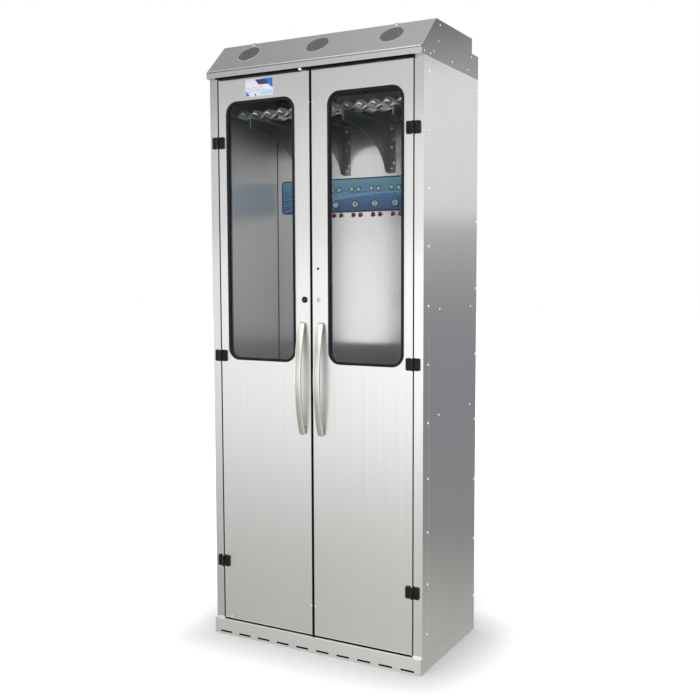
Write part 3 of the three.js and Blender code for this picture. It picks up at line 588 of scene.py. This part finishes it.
def hood_details():
    """The black strip over the doors, the catch in the gap between them, and the hood's screws.

    The black strip fills the recess under the hood's lip as painted shade.
    """
    # painted shade: a near-black strip filling the recess under the hood's lip
    seal = bmesh.new()
    box(seal, -DOORS_HALF, DOORS_HALF, -19.0, -0.8, LINTEL_Z + 1.6, LINTEL_Z + 6.9, 0.8)
    finish_piece(seal, "lip_shade_strip", SEAL_AND_SHADE_BLACK, "cabinet")
    catch = bmesh.new()
    box(catch, -40, -29, -19.5, -6, LINTEL_Z - 0.4, LINTEL_Z + 6.2, 1.0)
    lathe(catch, [(2.4, 0), (2.4, 1.6), (1.6, 2.2), (0, 2.2)], forward(-34.5, -19.5, LINTEL_Z + 3), 16)
    finish_piece(catch, "gap_catch", SCREW_STEEL, "cabinet")
    screws = bmesh.new()
    cheek_screws = (
        (137, 2333), (123, 2274), (80, 2231), (52, 2218), (2, 2218), (250, 2225), (400, 2225), (440, 2280),
    )
    for side in (-1, 1):
        for y, z in cheek_screws:
            screw(screws, toward((side * BODY_HALF, y, z), (side, 0, 0)), 3.4, 1.6)
    for x in (-400, -200, 0, 200, 400):
        screw(screws, backward(x, REAR_FLANGE, 2250), 3.4, 1.6)
    finish_piece(screws, "hood_screws", SCREW_STEEL, "cabinet")


perforated_panel()
vent_rims()
piano_hinge()
hood_details()


# Body screws and rivets


def body_fixings():
    """Screws down the sides and the back, rivets on the sides, and the seam behind the front frame.

    The screws on the back's flanges go into one piece with the rivets.
    """
    screws, rivets = bmesh.new(), bmesh.new()
    front_zs = (2157, 1954, 1752, 1549, 1338, 1128, 918, 715, 518, 325, 138)
    back_zs = (2164, 1917, 1656, 1394, 1133, 870, 625, 381, 142)
    for side in (-1, 1):
        out = (side, 0, 0)
        for z in front_zs:
            screw(screws, toward((side * BODY_HALF, 44, z), out))
        for z in back_zs:
            screw(screws, toward((side * BODY_HALF, 503, z), out))
        for y, z in ((144, 1324), (141, 935), (449, 1325), (449, 937)):
            rivet(rivets, toward((side * BODY_HALF, y, z), out))
    for z in back_zs:
        for x in (-445, 445):
            screw(rivets, backward(x, REAR_FLANGE, z), 3.4, 1.6)
    for x in (-360, -180, 0, 180, 360):
        for z in (90, 2180):
            screw(screws, backward(x, REAR_PANEL, z), 3.4, 1.6)
    finish_piece(screws, "body_screws", SCREW_STEEL, "cabinet")
    seams = bmesh.new()
    for side in (-1, 1):
        xs = sorted((side * (BODY_HALF - 0.3), side * (BODY_HALF + 0.4)))
        box(seams, *xs, 50.6, 53.0, SILL_Z - 4, LINTEL_Z + 6, 0.25, 1)
    finish_piece(seams, "side_seams", BRIGHT_STEEL, "cabinet")
    finish_piece(rivets, "body_rivets", SCREW_STEEL, "cabinet")


body_fixings()


def plinth_details():
    """A dark strip behind the slots, folded corner edges, and the strip under the doors.

    The dark strip behind the slots is painted shade inside the plinth. The strip under the doors is a seal,
    widened and near black so that it is partly painted shade in the gap.
    """
    # painted shade: a near-black strip behind the slots stands for the dark inside the plinth
    painted_slot_shade = bmesh.new()
    box(painted_slot_shade, -440, 440, -11.6, -9.8, 3, 20, 0.4, 1)
    finish_piece(painted_slot_shade, "plinth_slot_shade", SEAL_AND_SHADE_BLACK, "cabinet")
    corners = bmesh.new()
    for side in (-1, 1):
        xs = sorted((side * (BODY_HALF - 9.4), side * (BODY_HALF - 8.2)))
        box(corners, *xs, -14.5, -13.6, 1, 60, 0.2, 1)
        xs = sorted((side * (BODY_HALF - 0.3), side * (BODY_HALF + 0.5)))
        box(corners, *xs, 170, 171.4, 2, 59, 0.2, 1)
    finish_piece(corners, "plinth_corner_edges", BRIGHT_STEEL, "cabinet")
    # the seal under the doors, widened and near black: partly a seal, partly painted shade in the gap
    strip = bmesh.new()
    half = DOORS_HALF - 2.5
    box(strip, -half, half, -1.2, 14, SILL_Z - 4.4, SILL_Z - 1.3, 0.5, 1)
    box(strip, -half, half, -1.6, -0.2, SILL_Z - 6.5, SILL_Z - 1.3, 0.4, 1)
    finish_piece(strip, "sill_seal_and_shade", SEAL_AND_SHADE_BLACK, "cabinet")


plinth_details()


# Doors


def window_ring(side, section):
    """A section of (outward, depth) points carried round the window."""
    bm = bmesh.new()
    path = rounded_path(WINDOW_WIDTH, WINDOW_HEIGHT, WINDOW_ROUND, side * WINDOW_X, WINDOW_Z, 14)
    rings = [[bm.verts.new((x + n[0] * o, y, z + n[1] * o)) for o, y in section] for x, z, n in path]
    rings_to_faces(bm, [*rings, rings[0]])
    return bm


def window_trim(name, side):
    """Glazing rubber with a grooved face, and behind the glass a steel reveal, darkened as painted shade."""
    bead = window_ring(side, [
        (5.2, -0.2), (5.2, -1.6), (4.6, -2.7), (3.6, -3.2), (2.4, -3.1), (1.5, -2.5), (0.9, -1.3),
        (0.2, -1.3), (-0.4, -2.4), (-1.6, -3.2), (-3.0, -3.2), (-4.4, -2.6), (-5.4, -1.2), (-5.8, 0.6),
        (-5.8, 7.8), (-0.3, 7.8), (-0.3, -0.2),
    ])
    o = finish_piece(bead, f"{name}_window_rubber", RUBBER, f"{name}_door", sharp=50)
    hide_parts(f"{name}_window_gasket")
    reveal = window_ring(side, [
        (-0.3, 13.2), (-2.8, 13.2), (-2.9, 14.8), (-1.4, 16.0), (-1.2, 23.0), (-0.4, 24.0), (4.5, 24.0),
        (5.8, 23.4), (5.8, 22.4), (-0.3, 22.4),
    ])
    finish_piece(reveal, f"{name}_window_reveal", SHADED_REVEAL_STEEL, f"{name}_door", sharp=50)


def handle(name, side):
    """A bowed strap with a crowned face and rounded ends, on two short bosses."""
    bm = bmesh.new()
    radius, centre_y, half = 724.4, 686.9, 214.5
    steps, round_points = 72, 28
    reach = math.asin(half / radius)
    rings = []
    for i in range(steps + 1):
        # closer rings near the ends, where the outline rounds off
        a = reach * math.sin(math.pi / 2 * (2 * i / steps - 1))
        tip = (reach - abs(a)) * radius
        width = 14.5 * math.sqrt(max(0.0, 1 - max(0.0, (13 - tip) / 13) ** 2.4))
        thick = 4.5 * math.sqrt(max(0.0, 1 - max(0.0, (7 - tip) / 7) ** 2.0))
        centre = Vector((side * HANDLE_X, centre_y - radius * math.cos(a), HANDLE_Z + radius * math.sin(a)))
        if i in (0, steps):
            rings.append([bm.verts.new(centre)])
            continue
        out = Vector((0, -math.cos(a), math.sin(a)))
        ring = []
        for k in range(round_points):
            t = 2 * math.pi * k / round_points
            c, s = math.cos(t), math.sin(t)
            across = math.copysign(abs(c) ** 0.55, c) * width
            deep = math.copysign(abs(s) ** 0.8, s) * thick
            ring.append(bm.verts.new(centre + Vector((across, 0, 0)) + out * deep))
        rings.append(ring)
    rings_to_faces(bm, rings)
    for z in (-188, 188):
        y = centre_y - math.sqrt((radius - 2) ** 2 - z ** 2)
        profile = [(0, 0.0), (9.5, 0.0), (9.5, 0.8), (7.6, 2.2), (7.2, -y)]
        lathe(bm, profile, forward(side * HANDLE_X, -0.1, HANDLE_Z + z), 24)
    o = finish_piece(bm, f"{name}_bow_handle", NICKEL, f"{name}_door", sharp=60)
    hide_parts(f"{name}_handle")


def hinge_screws(name, side):
    """The screws in both leaves of each hinge, and the heads of its pin."""
    on_door, on_frame = bmesh.new(), bmesh.new()
    for z in HINGE_ZS:
        for dz in (-13, 13):
            for bm, reach in ((on_door, -1), (on_frame, 1)):
                x = side * (HINGE_X + reach * 18.5)
                screw(bm, forward(x, -5.5, z + dz), 3.6, 1.0)
    finish_piece(on_door, f"{name}_door_hinge_screws", HINGE_BLACK, f"{name}_door")
    finish_piece(on_frame, f"{name}_frame_hinge_screws", HINGE_BLACK, "cabinet")
    pins = bmesh.new()
    pin_head = [(3.0, 0), (3.0, 0.7), (2.2, 1.3), (0, 1.4)]
    for z in HINGE_ZS:
        for end in (-1, 1):
            lathe(pins, pin_head, toward((side * HINGE_X, HINGE_Y, z + end * 22.4), (0, 0, end)), 16)
    finish_piece(pins, f"{name}_hinge_pins", SCREW_STEEL, "cabinet")


def door_seals(name, side):
    """The seals down a door's two edges, and the clear bumpers at its free edge and its foot.

    The seals are widened over the gaps and near black, so they are partly painted shade.
    """
    # the seals are wider and blacker than a seal alone: partly seal, partly painted shade in the gaps
    door = bmesh.new()
    xs = sorted((side * 0.4, side * 2.9))
    box(door, *xs, 0.2, 16, SILL_Z - 0.5, LINTEL_Z + 0.5, 0.5)
    lip = 6.2 if side < 0 else 4.0
    xs = sorted((side * 0.4, side * lip))
    box(door, *xs, -0.9, 0.25, SILL_Z, LINTEL_Z, 0.35, 1)
    finish_piece(door, f"{name}_edge_seal_and_shade", SEAL_AND_SHADE_BLACK, f"{name}_door")
    jamb = bmesh.new()
    xs = sorted((side * (DOORS_HALF - 1.6), side * (DOORS_HALF + 0.4)))
    box(jamb, *xs, 0.3, 20, SILL_Z, LINTEL_Z, 0.5)
    xs = sorted((side * (DOORS_HALF - 1.3), side * (DOORS_HALF + 2.9)))
    box(jamb, *xs, -0.8, 0.1, SILL_Z, LINTEL_Z, 0.3, 1)
    finish_piece(jamb, f"{name}_jamb_seal_and_shade", SEAL_AND_SHADE_BLACK, "cabinet")
    clear = bmesh.new()
    bumper = [(3.4, -0.1), (3.4, 0.5), (2.6, 1.4), (1.3, 1.8), (0, 1.9)]
    for x, z in ((8, 2084), (8, 181), (385, 72)):
        lathe(clear, bumper, forward(side * x, 0, z), 20)
    finish_piece(clear, f"{name}_door_bumpers", CLEAR_BUMPER, f"{name}_door")


for name, side in (("left", -1), ("right", 1)):
    window_trim(name, side)
    handle(name, side)
    hinge_screws(name, side)
    door_seals(name, side)


def right_door_fittings():
    """A blank cap where the left door has its lock, and a black dot above it."""
    cap = bmesh.new()
    profile = [(9.2, -0.1), (9.2, 1.4), (8.4, 2.1), (6.6, 2.2), (6.2, 1.5), (4.2, 1.4), (3.8, 0.9), (0, 0.8)]
    lathe(cap, profile, forward(LOCK_X, 0, LOCK_Z), 32)
    finish_piece(cap, "blank_cap", BRIGHT_STEEL, "right_door")
    # the groove ring and the middle in the darker steel: painted shade in the cap's recesses
    groove = bmesh.new()
    lathe(groove, [(5.2, 1.2), (5.2, 1.75), (6.9, 2.25), (6.9, 1.2)], forward(LOCK_X, 0, LOCK_Z), 32)
    lathe(groove, [(2.2, 0.7), (2.2, 1.3), (1.6, 1.6), (0, 1.6)], forward(LOCK_X, 0, LOCK_Z), 20)
    finish_piece(groove, "blank_cap_groove", SHADED_BRACKET_STEEL, "right_door")
    dot = bmesh.new()
    lathe(dot, [(4.8, -0.1), (4.8, 0.7), (3.8, 1.3), (0, 1.4)], forward(28, 0, 1472), 20)
    finish_piece(dot, "black_dot", SEAL_AND_SHADE_BLACK, "right_door")


def lock_face():
    """The plug's metal key face, with its keyway."""
    face, keyway = bmesh.new(), bmesh.new()
    lathe(face, [(2.8, -0.1), (2.8, 0.3), (2.4, 0.5), (0, 0.5)], forward(-LOCK_X, -3, LOCK_Z), 24)
    # the keyway is a black strip on the face, painted shade for the slot
    box(keyway, -LOCK_X - 0.35, -LOCK_X + 0.35, -3.62, -3.4, LOCK_Z - 1.8, LOCK_Z + 1.8, 0.1, 1)
    finish_piece(face, "lock_key_face", SHADED_REVEAL_STEEL, "lock")
    finish_piece(keyway, "lock_keyway", SEAL_AND_SHADE_BLACK, "lock")


def magnetic_catches():
    """One catch behind each door's free top corner."""
    bm = bmesh.new()
    for side in (-1, 1):
        x = side * 36
        box(bm, x - 24, x + 24, 26.2, 45, 2166, 2185, 1.2)
    finish_piece(bm, "magnetic_catches", BLACK_PLASTIC, "cabinet")


def door_label():
    """A generic printed label: a pale field, a dark band, a blue wedge and corners, and a row of rings."""
    x0, x1, z0, z1 = -289, -163, 2126, 2192
    base = bmesh.new()
    outline = [(x, z) for x, z, _ in rounded_path(x1 - x0, z1 - z0, 3, (x0 + x1) / 2, (z0 + z1) / 2, 4)]
    plate_with_holes(base, outline, [], 0.3, 0.3)
    band, wedge, marks = bmesh.new(), bmesh.new(), bmesh.new()
    plate_with_holes(band, [(-246, 2188), (-166, 2188), (-166, 2168), (-228, 2168)], [], 0.42, 0.12)
    wedge_shape = [(-212, 2189.5), (-165, 2189.5), (-165, 2152), (-181, 2163), (-192, 2180)]
    plate_with_holes(wedge, wedge_shape, [], 0.5, 0.1)
    ring_places = ((-276, 2150), (-262, 2144), (-248, 2152), (-232, 2146), (-216, 2153), (-200, 2146))
    for i, (x, z) in enumerate(ring_places):
        ring = circle(x, z, 6.5 if i % 2 else 8.5, 20)
        inner = circle(x, z, 5.3 if i % 2 else 7.1, 20)
        plate_with_holes(marks, ring, [inner], 0.42, 0.12)
    corners = bmesh.new()
    plate_with_holes(corners, [(-286.5, 2128), (-268, 2128), (-275, 2137), (-286.5, 2146)], [], 0.42, 0.12)
    plate_with_holes(corners, [(-248, 2128), (-236, 2128), (-247, 2139)], [], 0.42, 0.12)
    pale = bmesh.new()
    plate_with_holes(pale, [(-232, 2130), (-165, 2130), (-165, 2147), (-214, 2141)], [], 0.38, 0.12)
    upright = CABINET @ Matrix.Rotation(math.pi / 2, 4, "X")
    for bm, part, look in (
        (base, "label_base", LABEL_WHITE), (band, "label_band", PRINT_NAVY),
        (wedge, "label_wedge", PRINT_BLUE), (marks, "label_marks", LABEL_GREY),
        (corners, "label_corners", PRINT_BLUE), (pale, "label_pale", LABEL_SKY),
    ):
        finish_piece(bm, part, look, "left_door", upright)


right_door_fittings()
lock_face()
magnetic_catches()
door_label()


# Inside


def hanging_rack():
    """Two polished corrugated rails with rolled edges, on flat ties over the brackets."""
    half = RACK_PITCH * RACK_WAVES / 2
    bm = bmesh.new()
    columns = RACK_WAVES * 18
    for y0, y1, rise, droop in ((50, 122, 24, 17), (146, 204, 14, 9)):
        # (inset, share of the droop): a steep face that leans back a little, then a round shoulder
        edge = []
        for k in range(9):
            across, down = math.sin(math.pi / 2 * k / 8) ** 0.67, math.cos(math.pi / 2 * k / 8) ** 0.67
            edge.append((droop * (1 - across + 0.06 * down), 1 - down))
        section = [(y0 + inset, roll) for inset, roll in reversed(edge)]
        section += [(y1 - inset, roll) for inset, roll in edge]
        rows = len(section) - 1
        grid = []
        for i in range(columns + 1):
            x = -half + 2 * half * i / columns
            wave = (1 + math.cos(2 * math.pi * x / RACK_PITCH)) / 2
            line = []
            for y, roll in section:
                z = RACK_BASE + 5.5 + rise * wave - droop * roll * (0.18 + 0.82 * wave)
                line.append(bm.verts.new((x, y, z)))
            grid.append(line)
        faces = []
        for i in range(columns):
            for j in range(rows):
                faces.append(bm.faces.new((grid[i][j], grid[i + 1][j], grid[i + 1][j + 1], grid[i][j + 1])))
        bmesh.ops.solidify(bm, geom=faces, thickness=2.0)
    for x in BRACKET_XS:
        # the tie sits in the hollow of the wave next to its bracket
        hollow = (math.floor(x / RACK_PITCH) + 0.5) * RACK_PITCH
        box(bm, hollow - 14, hollow + 14, 70, 190, RACK_BASE, RACK_BASE + 3, 0.8)
    o = finish_piece(bm, "polished_rack", RACK_STEEL, "cabinet", sharp=50)
    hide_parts("scope_rack")


def bracket_details():
    """The screws beside each rack bracket and the rounded edge at its tip."""
    screws, rims = bmesh.new(), bmesh.new()
    for x in BRACKET_XS:
        for dx, z in ((14, 1876), (24, 1898), (14, 1960), (24, 1992), (14, 2036)):
            screw(screws, forward(x + dx, INNER_WALL - 2.4, z), 5.0, 2.8)
        box(rims, x - 1.6, x + 1.6, 58.2, 60.4, 2020, 2056.5, 0.6)
    finish_piece(screws, "bracket_screws", SCREW_STEEL, "cabinet")
    finish_piece(rims, "bracket_rims", SHADED_BRACKET_STEEL, "cabinet")


def air_fittings():
    """Push-in elbows that point down, with a flared collar, on the manifold behind the wall."""
    bm = bmesh.new()
    stem = [
        (0, -14), (5.5, -14), (6.4, -13), (6.4, 0.15), (7.9, 0.15), (7.9, 1.1), (7.2, 1.7), (4.6, 1.8),
        (4.2, 5), (3.6, 9), (0, 9),
    ]
    nose = [
        (0, 0), (3.0, 0), (3.6, 0.8), (3.8, 3.4), (4.4, 4.4), (5.4, 9.6), (6.2, 10.4), (6.4, 11.2),
        (6.4, 13.4), (5.8, 14.4), (3.8, 14.6), (3.2, 14.0), (2.8, 11), (0, 11),
    ]
    for centre in CHANNEL_XS:
        for x in (centre - FITTING_ASIDE, centre + FITTING_ASIDE):
            lathe(bm, stem, forward(x, INNER_WALL, FITTING_Z), 20)
            lathe(bm, nose, toward((x + 3, INNER_WALL - 8.5, FITTING_Z + 11), (0, 0, -1)), 20)
    half = CHANNEL_XS[-1] + 32.5
    box(bm, -half, half, INNER_WALL + 8, INNER_WALL + 28, FITTING_Z - 12, FITTING_Z + 12, 1.5)
    o = finish_piece(bm, "air_fittings", RED_PLASTIC, "cabinet", sharp=40)
    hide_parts("air_manifold")


def panel_overlay():
    """The printed sheet on the drying panel, and over each channel two round icons and a ring."""
    upright = CABINET @ Matrix.Rotation(math.pi / 2, 4, "X")
    print_matrix = Matrix.Translation((0, PANEL_FACE * MM, 0)) @ upright
    sheet = bmesh.new()
    outline = [(x, z) for x, z, _ in rounded_path(797, 129, 10, 0, PANEL_Z, 8)]
    plate_with_holes(sheet, outline, [circle(x, BUTTON_Z, 12.9, 32) for x in CHANNEL_XS], 0.2, 0.2)
    finish_piece(sheet, "overlay_sheet", PANEL_PRINT, "cabinet", print_matrix)
    rings, faces, halves, dots = bmesh.new(), bmesh.new(), bmesh.new(), bmesh.new()
    for x in CHANNEL_XS:
        for side, first in ((-1, math.pi), (1, 0.0)):
            cx, cz = x + side * ICON_ASIDE, ICON_Z
            plate_with_holes(rings, circle(cx, cz, 11.0, 28), [circle(cx, cz, 7.8, 28)], 0.34, 0.14)
            plate_with_holes(faces, circle(cx, cz, 7.8, 28), [], 0.32, 0.12)
            angles = [first + math.pi * i / 12 for i in range(13)]
            arc = [(cx + 7.4 * math.cos(a), cz + 7.4 * math.sin(a)) for a in angles]
            plate_with_holes(halves, arc, [], 0.42, 0.1)
            for dz in (-20, -30):
                plate_with_holes(dots, circle(cx, cz + dz, 1.7, 14), [], 0.34, 0.14)
        surround = [circle(x, BUTTON_Z, 13.0, 32)]
        plate_with_holes(rings, circle(x, BUTTON_Z, 15.4, 32), surround, 0.34, 0.14)
    for bm, part, look in (
        (rings, "icon_rings", PRINT_NAVY), (faces, "icon_faces", PRINT_PALE),
        (halves, "icon_halves", PRINT_GREEN), (dots, "icon_dots", PRINT_PALE),
    ):
        finish_piece(bm, part, look, "cabinet", print_matrix)


def channel_numbers():
    """A number and a thin ring printed on each button."""
    for i, x in enumerate(CHANNEL_XS):
        curve = bpy.data.curves.new(f"digit_{i + 1}", "FONT")
        curve.body = str(i + 1)
        curve.size = 0.022
        curve.extrude = 0.0001
        curve.offset = 0.00055
        curve.align_x, curve.align_y = "CENTER", "CENTER"
        text = bpy.data.objects.new(f"digit_{i + 1}", curve)
        bpy.context.scene.collection.objects.link(text)
        bpy.context.view_layer.update()
        mesh = bpy.data.meshes.new_from_object(text.evaluated_get(bpy.context.evaluated_depsgraph_get()))
        bpy.data.objects.remove(text)
        spot = Matrix.Translation(place(x, BUTTON_FACE - 0.2, BUTTON_Z))
        mesh.transform(spot @ Matrix.Rotation(math.pi / 2, 4, "X"))
        mesh.materials.clear()
        mesh.materials.append(PRINT_NAVY)
        o = bpy.data.objects.new(f"channel_number_{i + 1}", mesh)
        bpy.context.scene.collection.objects.link(o)
        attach(o, f"button_{i + 1}")
        ring = bmesh.new()
        profile = [(10.4, 0), (10.4, 0.25), (11.2, 0.25), (11.2, 0)]
        lathe(ring, profile, forward(x, BUTTON_FACE, BUTTON_Z), 32)
        finish_piece(ring, f"channel_ring_{i + 1}", PRINT_NAVY, f"button_{i + 1}")


def corner_seams():
    """The dark line where each liner meets the wall behind the rack."""
    bm = bmesh.new()
    for side in (-1, 1):
        xs = sorted((side * 433.2, side * 431.4))
        box(bm, *xs, INNER_WALL - 2.4, INNER_WALL + 0.2, 64, 2190, 0.3, 1)
    finish_piece(bm, "corner_seams", SEAL_AND_SHADE_BLACK, "cabinet")


corner_seams()
hanging_rack()
bracket_details()
air_fittings()
panel_overlay()
channel_numbers()


# Camera, light and floor


def make_camera():
    """The photo's camera, as fitted to the cabinet's corners."""
    yaw, pitch, roll = math.radians(28.67), math.radians(4.69), math.radians(-0.171)
    ahead = Vector((-math.sin(yaw) * math.cos(pitch), math.cos(yaw) * math.cos(pitch), -math.sin(pitch)))
    right = Vector((math.cos(yaw), math.sin(yaw), 0))
    up = right.cross(ahead)
    right, up = (
        right * math.cos(roll) + up * math.sin(roll),
        up * math.cos(roll) - right * math.sin(roll),
    )
    data = bpy.data.cameras.new("camera")
    data.lens, data.sensor_width = 48.66, 36
    camera = bpy.data.objects.new("camera", data)
    turn = Matrix((right, up, -ahead)).transposed().to_4x4()
    camera.matrix_world = Matrix.Translation((1.826, -3.277, 1.458)) @ turn
    bpy.context.scene.collection.objects.link(camera)
    bpy.context.scene.camera = camera


def bands(tree, height, stops):
    """A wall's brightness by the sine of the elevation, with a tint where the stop has one."""
    colours = []
    for sine, level, *tint in stops:
        tone = tint[0] if tint else (1, 1, 1)
        colours.append((0.5 + sine / 2, [level * c / BAND_SCALE for c in tone]))
    return ramp(tree, height, colours)


# (sine of the elevation, brightness, tint where it has one) of each wall that the steel mirrors
BAND_SCALE = 1.6
WARM, COOL = (1.03, 1.0, 0.95), (0.96, 0.99, 1.05)
FRONT_BANDS = [
    (-1.0, 0.45, WARM), (-0.5, 0.56, WARM), (-0.4, 0.6, WARM), (-0.35, 0.6, WARM), (-0.29, 0.66, WARM),
    (-0.235, 0.8), (-0.19, 0.97), (-0.13, 1.16), (-0.04, 1.28), (0.018, 1.22), (0.045, 0.94), (0.07, 0.97),
    (0.125, 0.93), (0.175, 0.68), (0.2, 0.54), (0.235, 0.5), (0.285, 1.6), (0.57, 1.6), (0.74, 0.52),
    (1.0, 0.52),
]
SIDE_BANDS = [
    (-1.0, 0.5, WARM), (-0.36, 0.5, WARM), (-0.31, 0.4, WARM), (-0.27, 0.31), (-0.15, 0.29, COOL),
    (-0.06, 0.31, COOL), (-0.02, 0.36), (0.03, 0.47), (0.05, 0.56), (0.062, 0.84), (0.2, 0.88), (0.225, 0.6),
    (0.26, 0.26, COOL), (0.6, 0.26, COOL), (1.0, 0.5),
]
RIGHT_BANDS = [
    (-1.0, 0.5, WARM), (-0.5, 0.6, WARM), (-0.2, 0.9), (-0.08, 0.72), (-0.03, 0.42), (0.02, 0.34),
    (0.045, 0.36), (0.06, 1.25), (0.2, 1.2), (0.285, 1.6), (0.53, 1.6), (0.71, 0.5), (1.0, 0.5),
]
# (x, share) of the front wall's brightness by the direction's x
AZIMUTH = [
    (-1.0, 1.5), (-0.9, 1.5), (-0.75, 0.57), (-0.62, 0.57), (-0.56, 0.67), (-0.48, 0.97), (-0.42, 1.2),
    (-0.2, 1.25), (0.1, 1.5), (1.0, 1.5),
]
AZIMUTH_SCALE = 1.5
FLOOR_RADIUS = 30000


def make_world():
    """A studio of soft bands for the steel to mirror: walls ahead and on the right, and a darker one."""
    world = bpy.data.worlds.new("studio")
    bpy.context.scene.world = world
    world.use_nodes = True
    tree = world.node_tree
    tree.nodes.clear()
    direction = coordinates(tree, "Generated")
    across, _, up = axes(tree, direction)
    height = spread(tree, up, 0, 1, -1, 1)
    stops = [(0.5 + x / 2, [share / AZIMUTH_SCALE] * 3) for x, share in AZIMUTH]
    sweep = ramp(tree, spread(tree, across, 0, 1, -1, 1), stops)
    share = on_vectors(tree, "MULTIPLY", sweep, [AZIMUTH_SCALE] * 3)
    front = blend(tree, 1, bands(tree, height, FRONT_BANDS), share, blend_type="MULTIPLY", clamp_result=False)
    ahead = blend(tree, spread(tree, across, 0, 1, 0.12, 0.3), front, bands(tree, height, RIGHT_BANDS))
    facing = on_vectors(tree, "DOT_PRODUCT", direction, (-0.48, -0.877, 0))
    room = blend(tree, spread(tree, facing, 0, 1, -0.3, 0.3), bands(tree, height, SIDE_BANDS), ahead)
    studio = add(tree, "ShaderNodeBackground", {"Color": room, "Strength": BAND_SCALE})
    white = add(tree, "ShaderNodeBackground", {"Color": (1, 1, 1, 1), "Strength": 1.0})
    seen = add(tree, "ShaderNodeLightPath").outputs["Is Camera Ray"]
    choose = add(tree, "ShaderNodeMixShader", {0: seen, 1: studio.outputs[0], 2: white.outputs[0]})
    add(tree, "ShaderNodeOutputWorld", {0: choose.outputs[0]})


def make_lights():
    """Two soft squares of light, aimed at the middle of the doors and unseen in the steel."""
    for name, where, size, power in (
        ("overhead", (0.4, 0.2, 5.0), 5.0, 150), ("front_soft", (2.4, -4.4, 3.2), 3.0, 60),
    ):
        data = bpy.data.lights.new(name, "AREA")
        data.shape, data.size, data.energy = "SQUARE", size, power
        light = bpy.data.objects.new(name, data)
        light.location = where
        light.rotation_mode = "QUATERNION"
        light.rotation_quaternion = (Vector((0, 0, 1.0)) - Vector(where)).to_track_quat("-Z", "Y")
        light.visible_glossy = False
        light.visible_camera = False
        bpy.context.scene.collection.objects.link(light)


def make_floor():
    """A white studio floor with a soft contact shadow round the plinth."""
    m, tree, shader = material("studio_floor", Roughness=0.9, Emission_Color=(1, 1, 1, 1))
    spot = coordinates(tree)
    # how far outside the plinth's footprint a point is, in metres
    beyond = on_vectors(tree, "SUBTRACT", on_vectors(tree, "ABSOLUTE", spot), (0.44, 0.26, 10))
    gap = on_vectors(tree, "LENGTH", on_vectors(tree, "MAXIMUM", beyond, (0, 0, 0)))
    halo = spread(tree, gap, 0, 1, 0, 0.23)
    distance = spread(tree, on_vectors(tree, "LENGTH", spot), 0.12, 0.8, 0.5, 2.6)
    feed(shader, "Emission Strength", combine(tree, "MULTIPLY", distance, halo))
    feed(shader, "Base Color", blend(tree, halo, (0.66, 0.66, 0.66), (0.88, 0.88, 0.88)))
    bm = bmesh.new()
    plate_with_holes(bm, circle(0, 0, FLOOR_RADIUS, 64), [])
    mesh = bpy.data.meshes.new("floor")
    bm.to_mesh(mesh)
    bm.free()
    mesh.transform(Matrix.Translation((0, 0, -0.0005)) @ Matrix.Scale(MM, 4))
    mesh.materials.append(m)
    floor = bpy.data.objects.new("floor", mesh)
    bpy.context.scene.collection.objects.link(floor)
    floor.visible_glossy = False


make_camera()
make_world()
make_lights()
make_floor()
bpy.context.scene.view_settings.view_transform = "Standard"
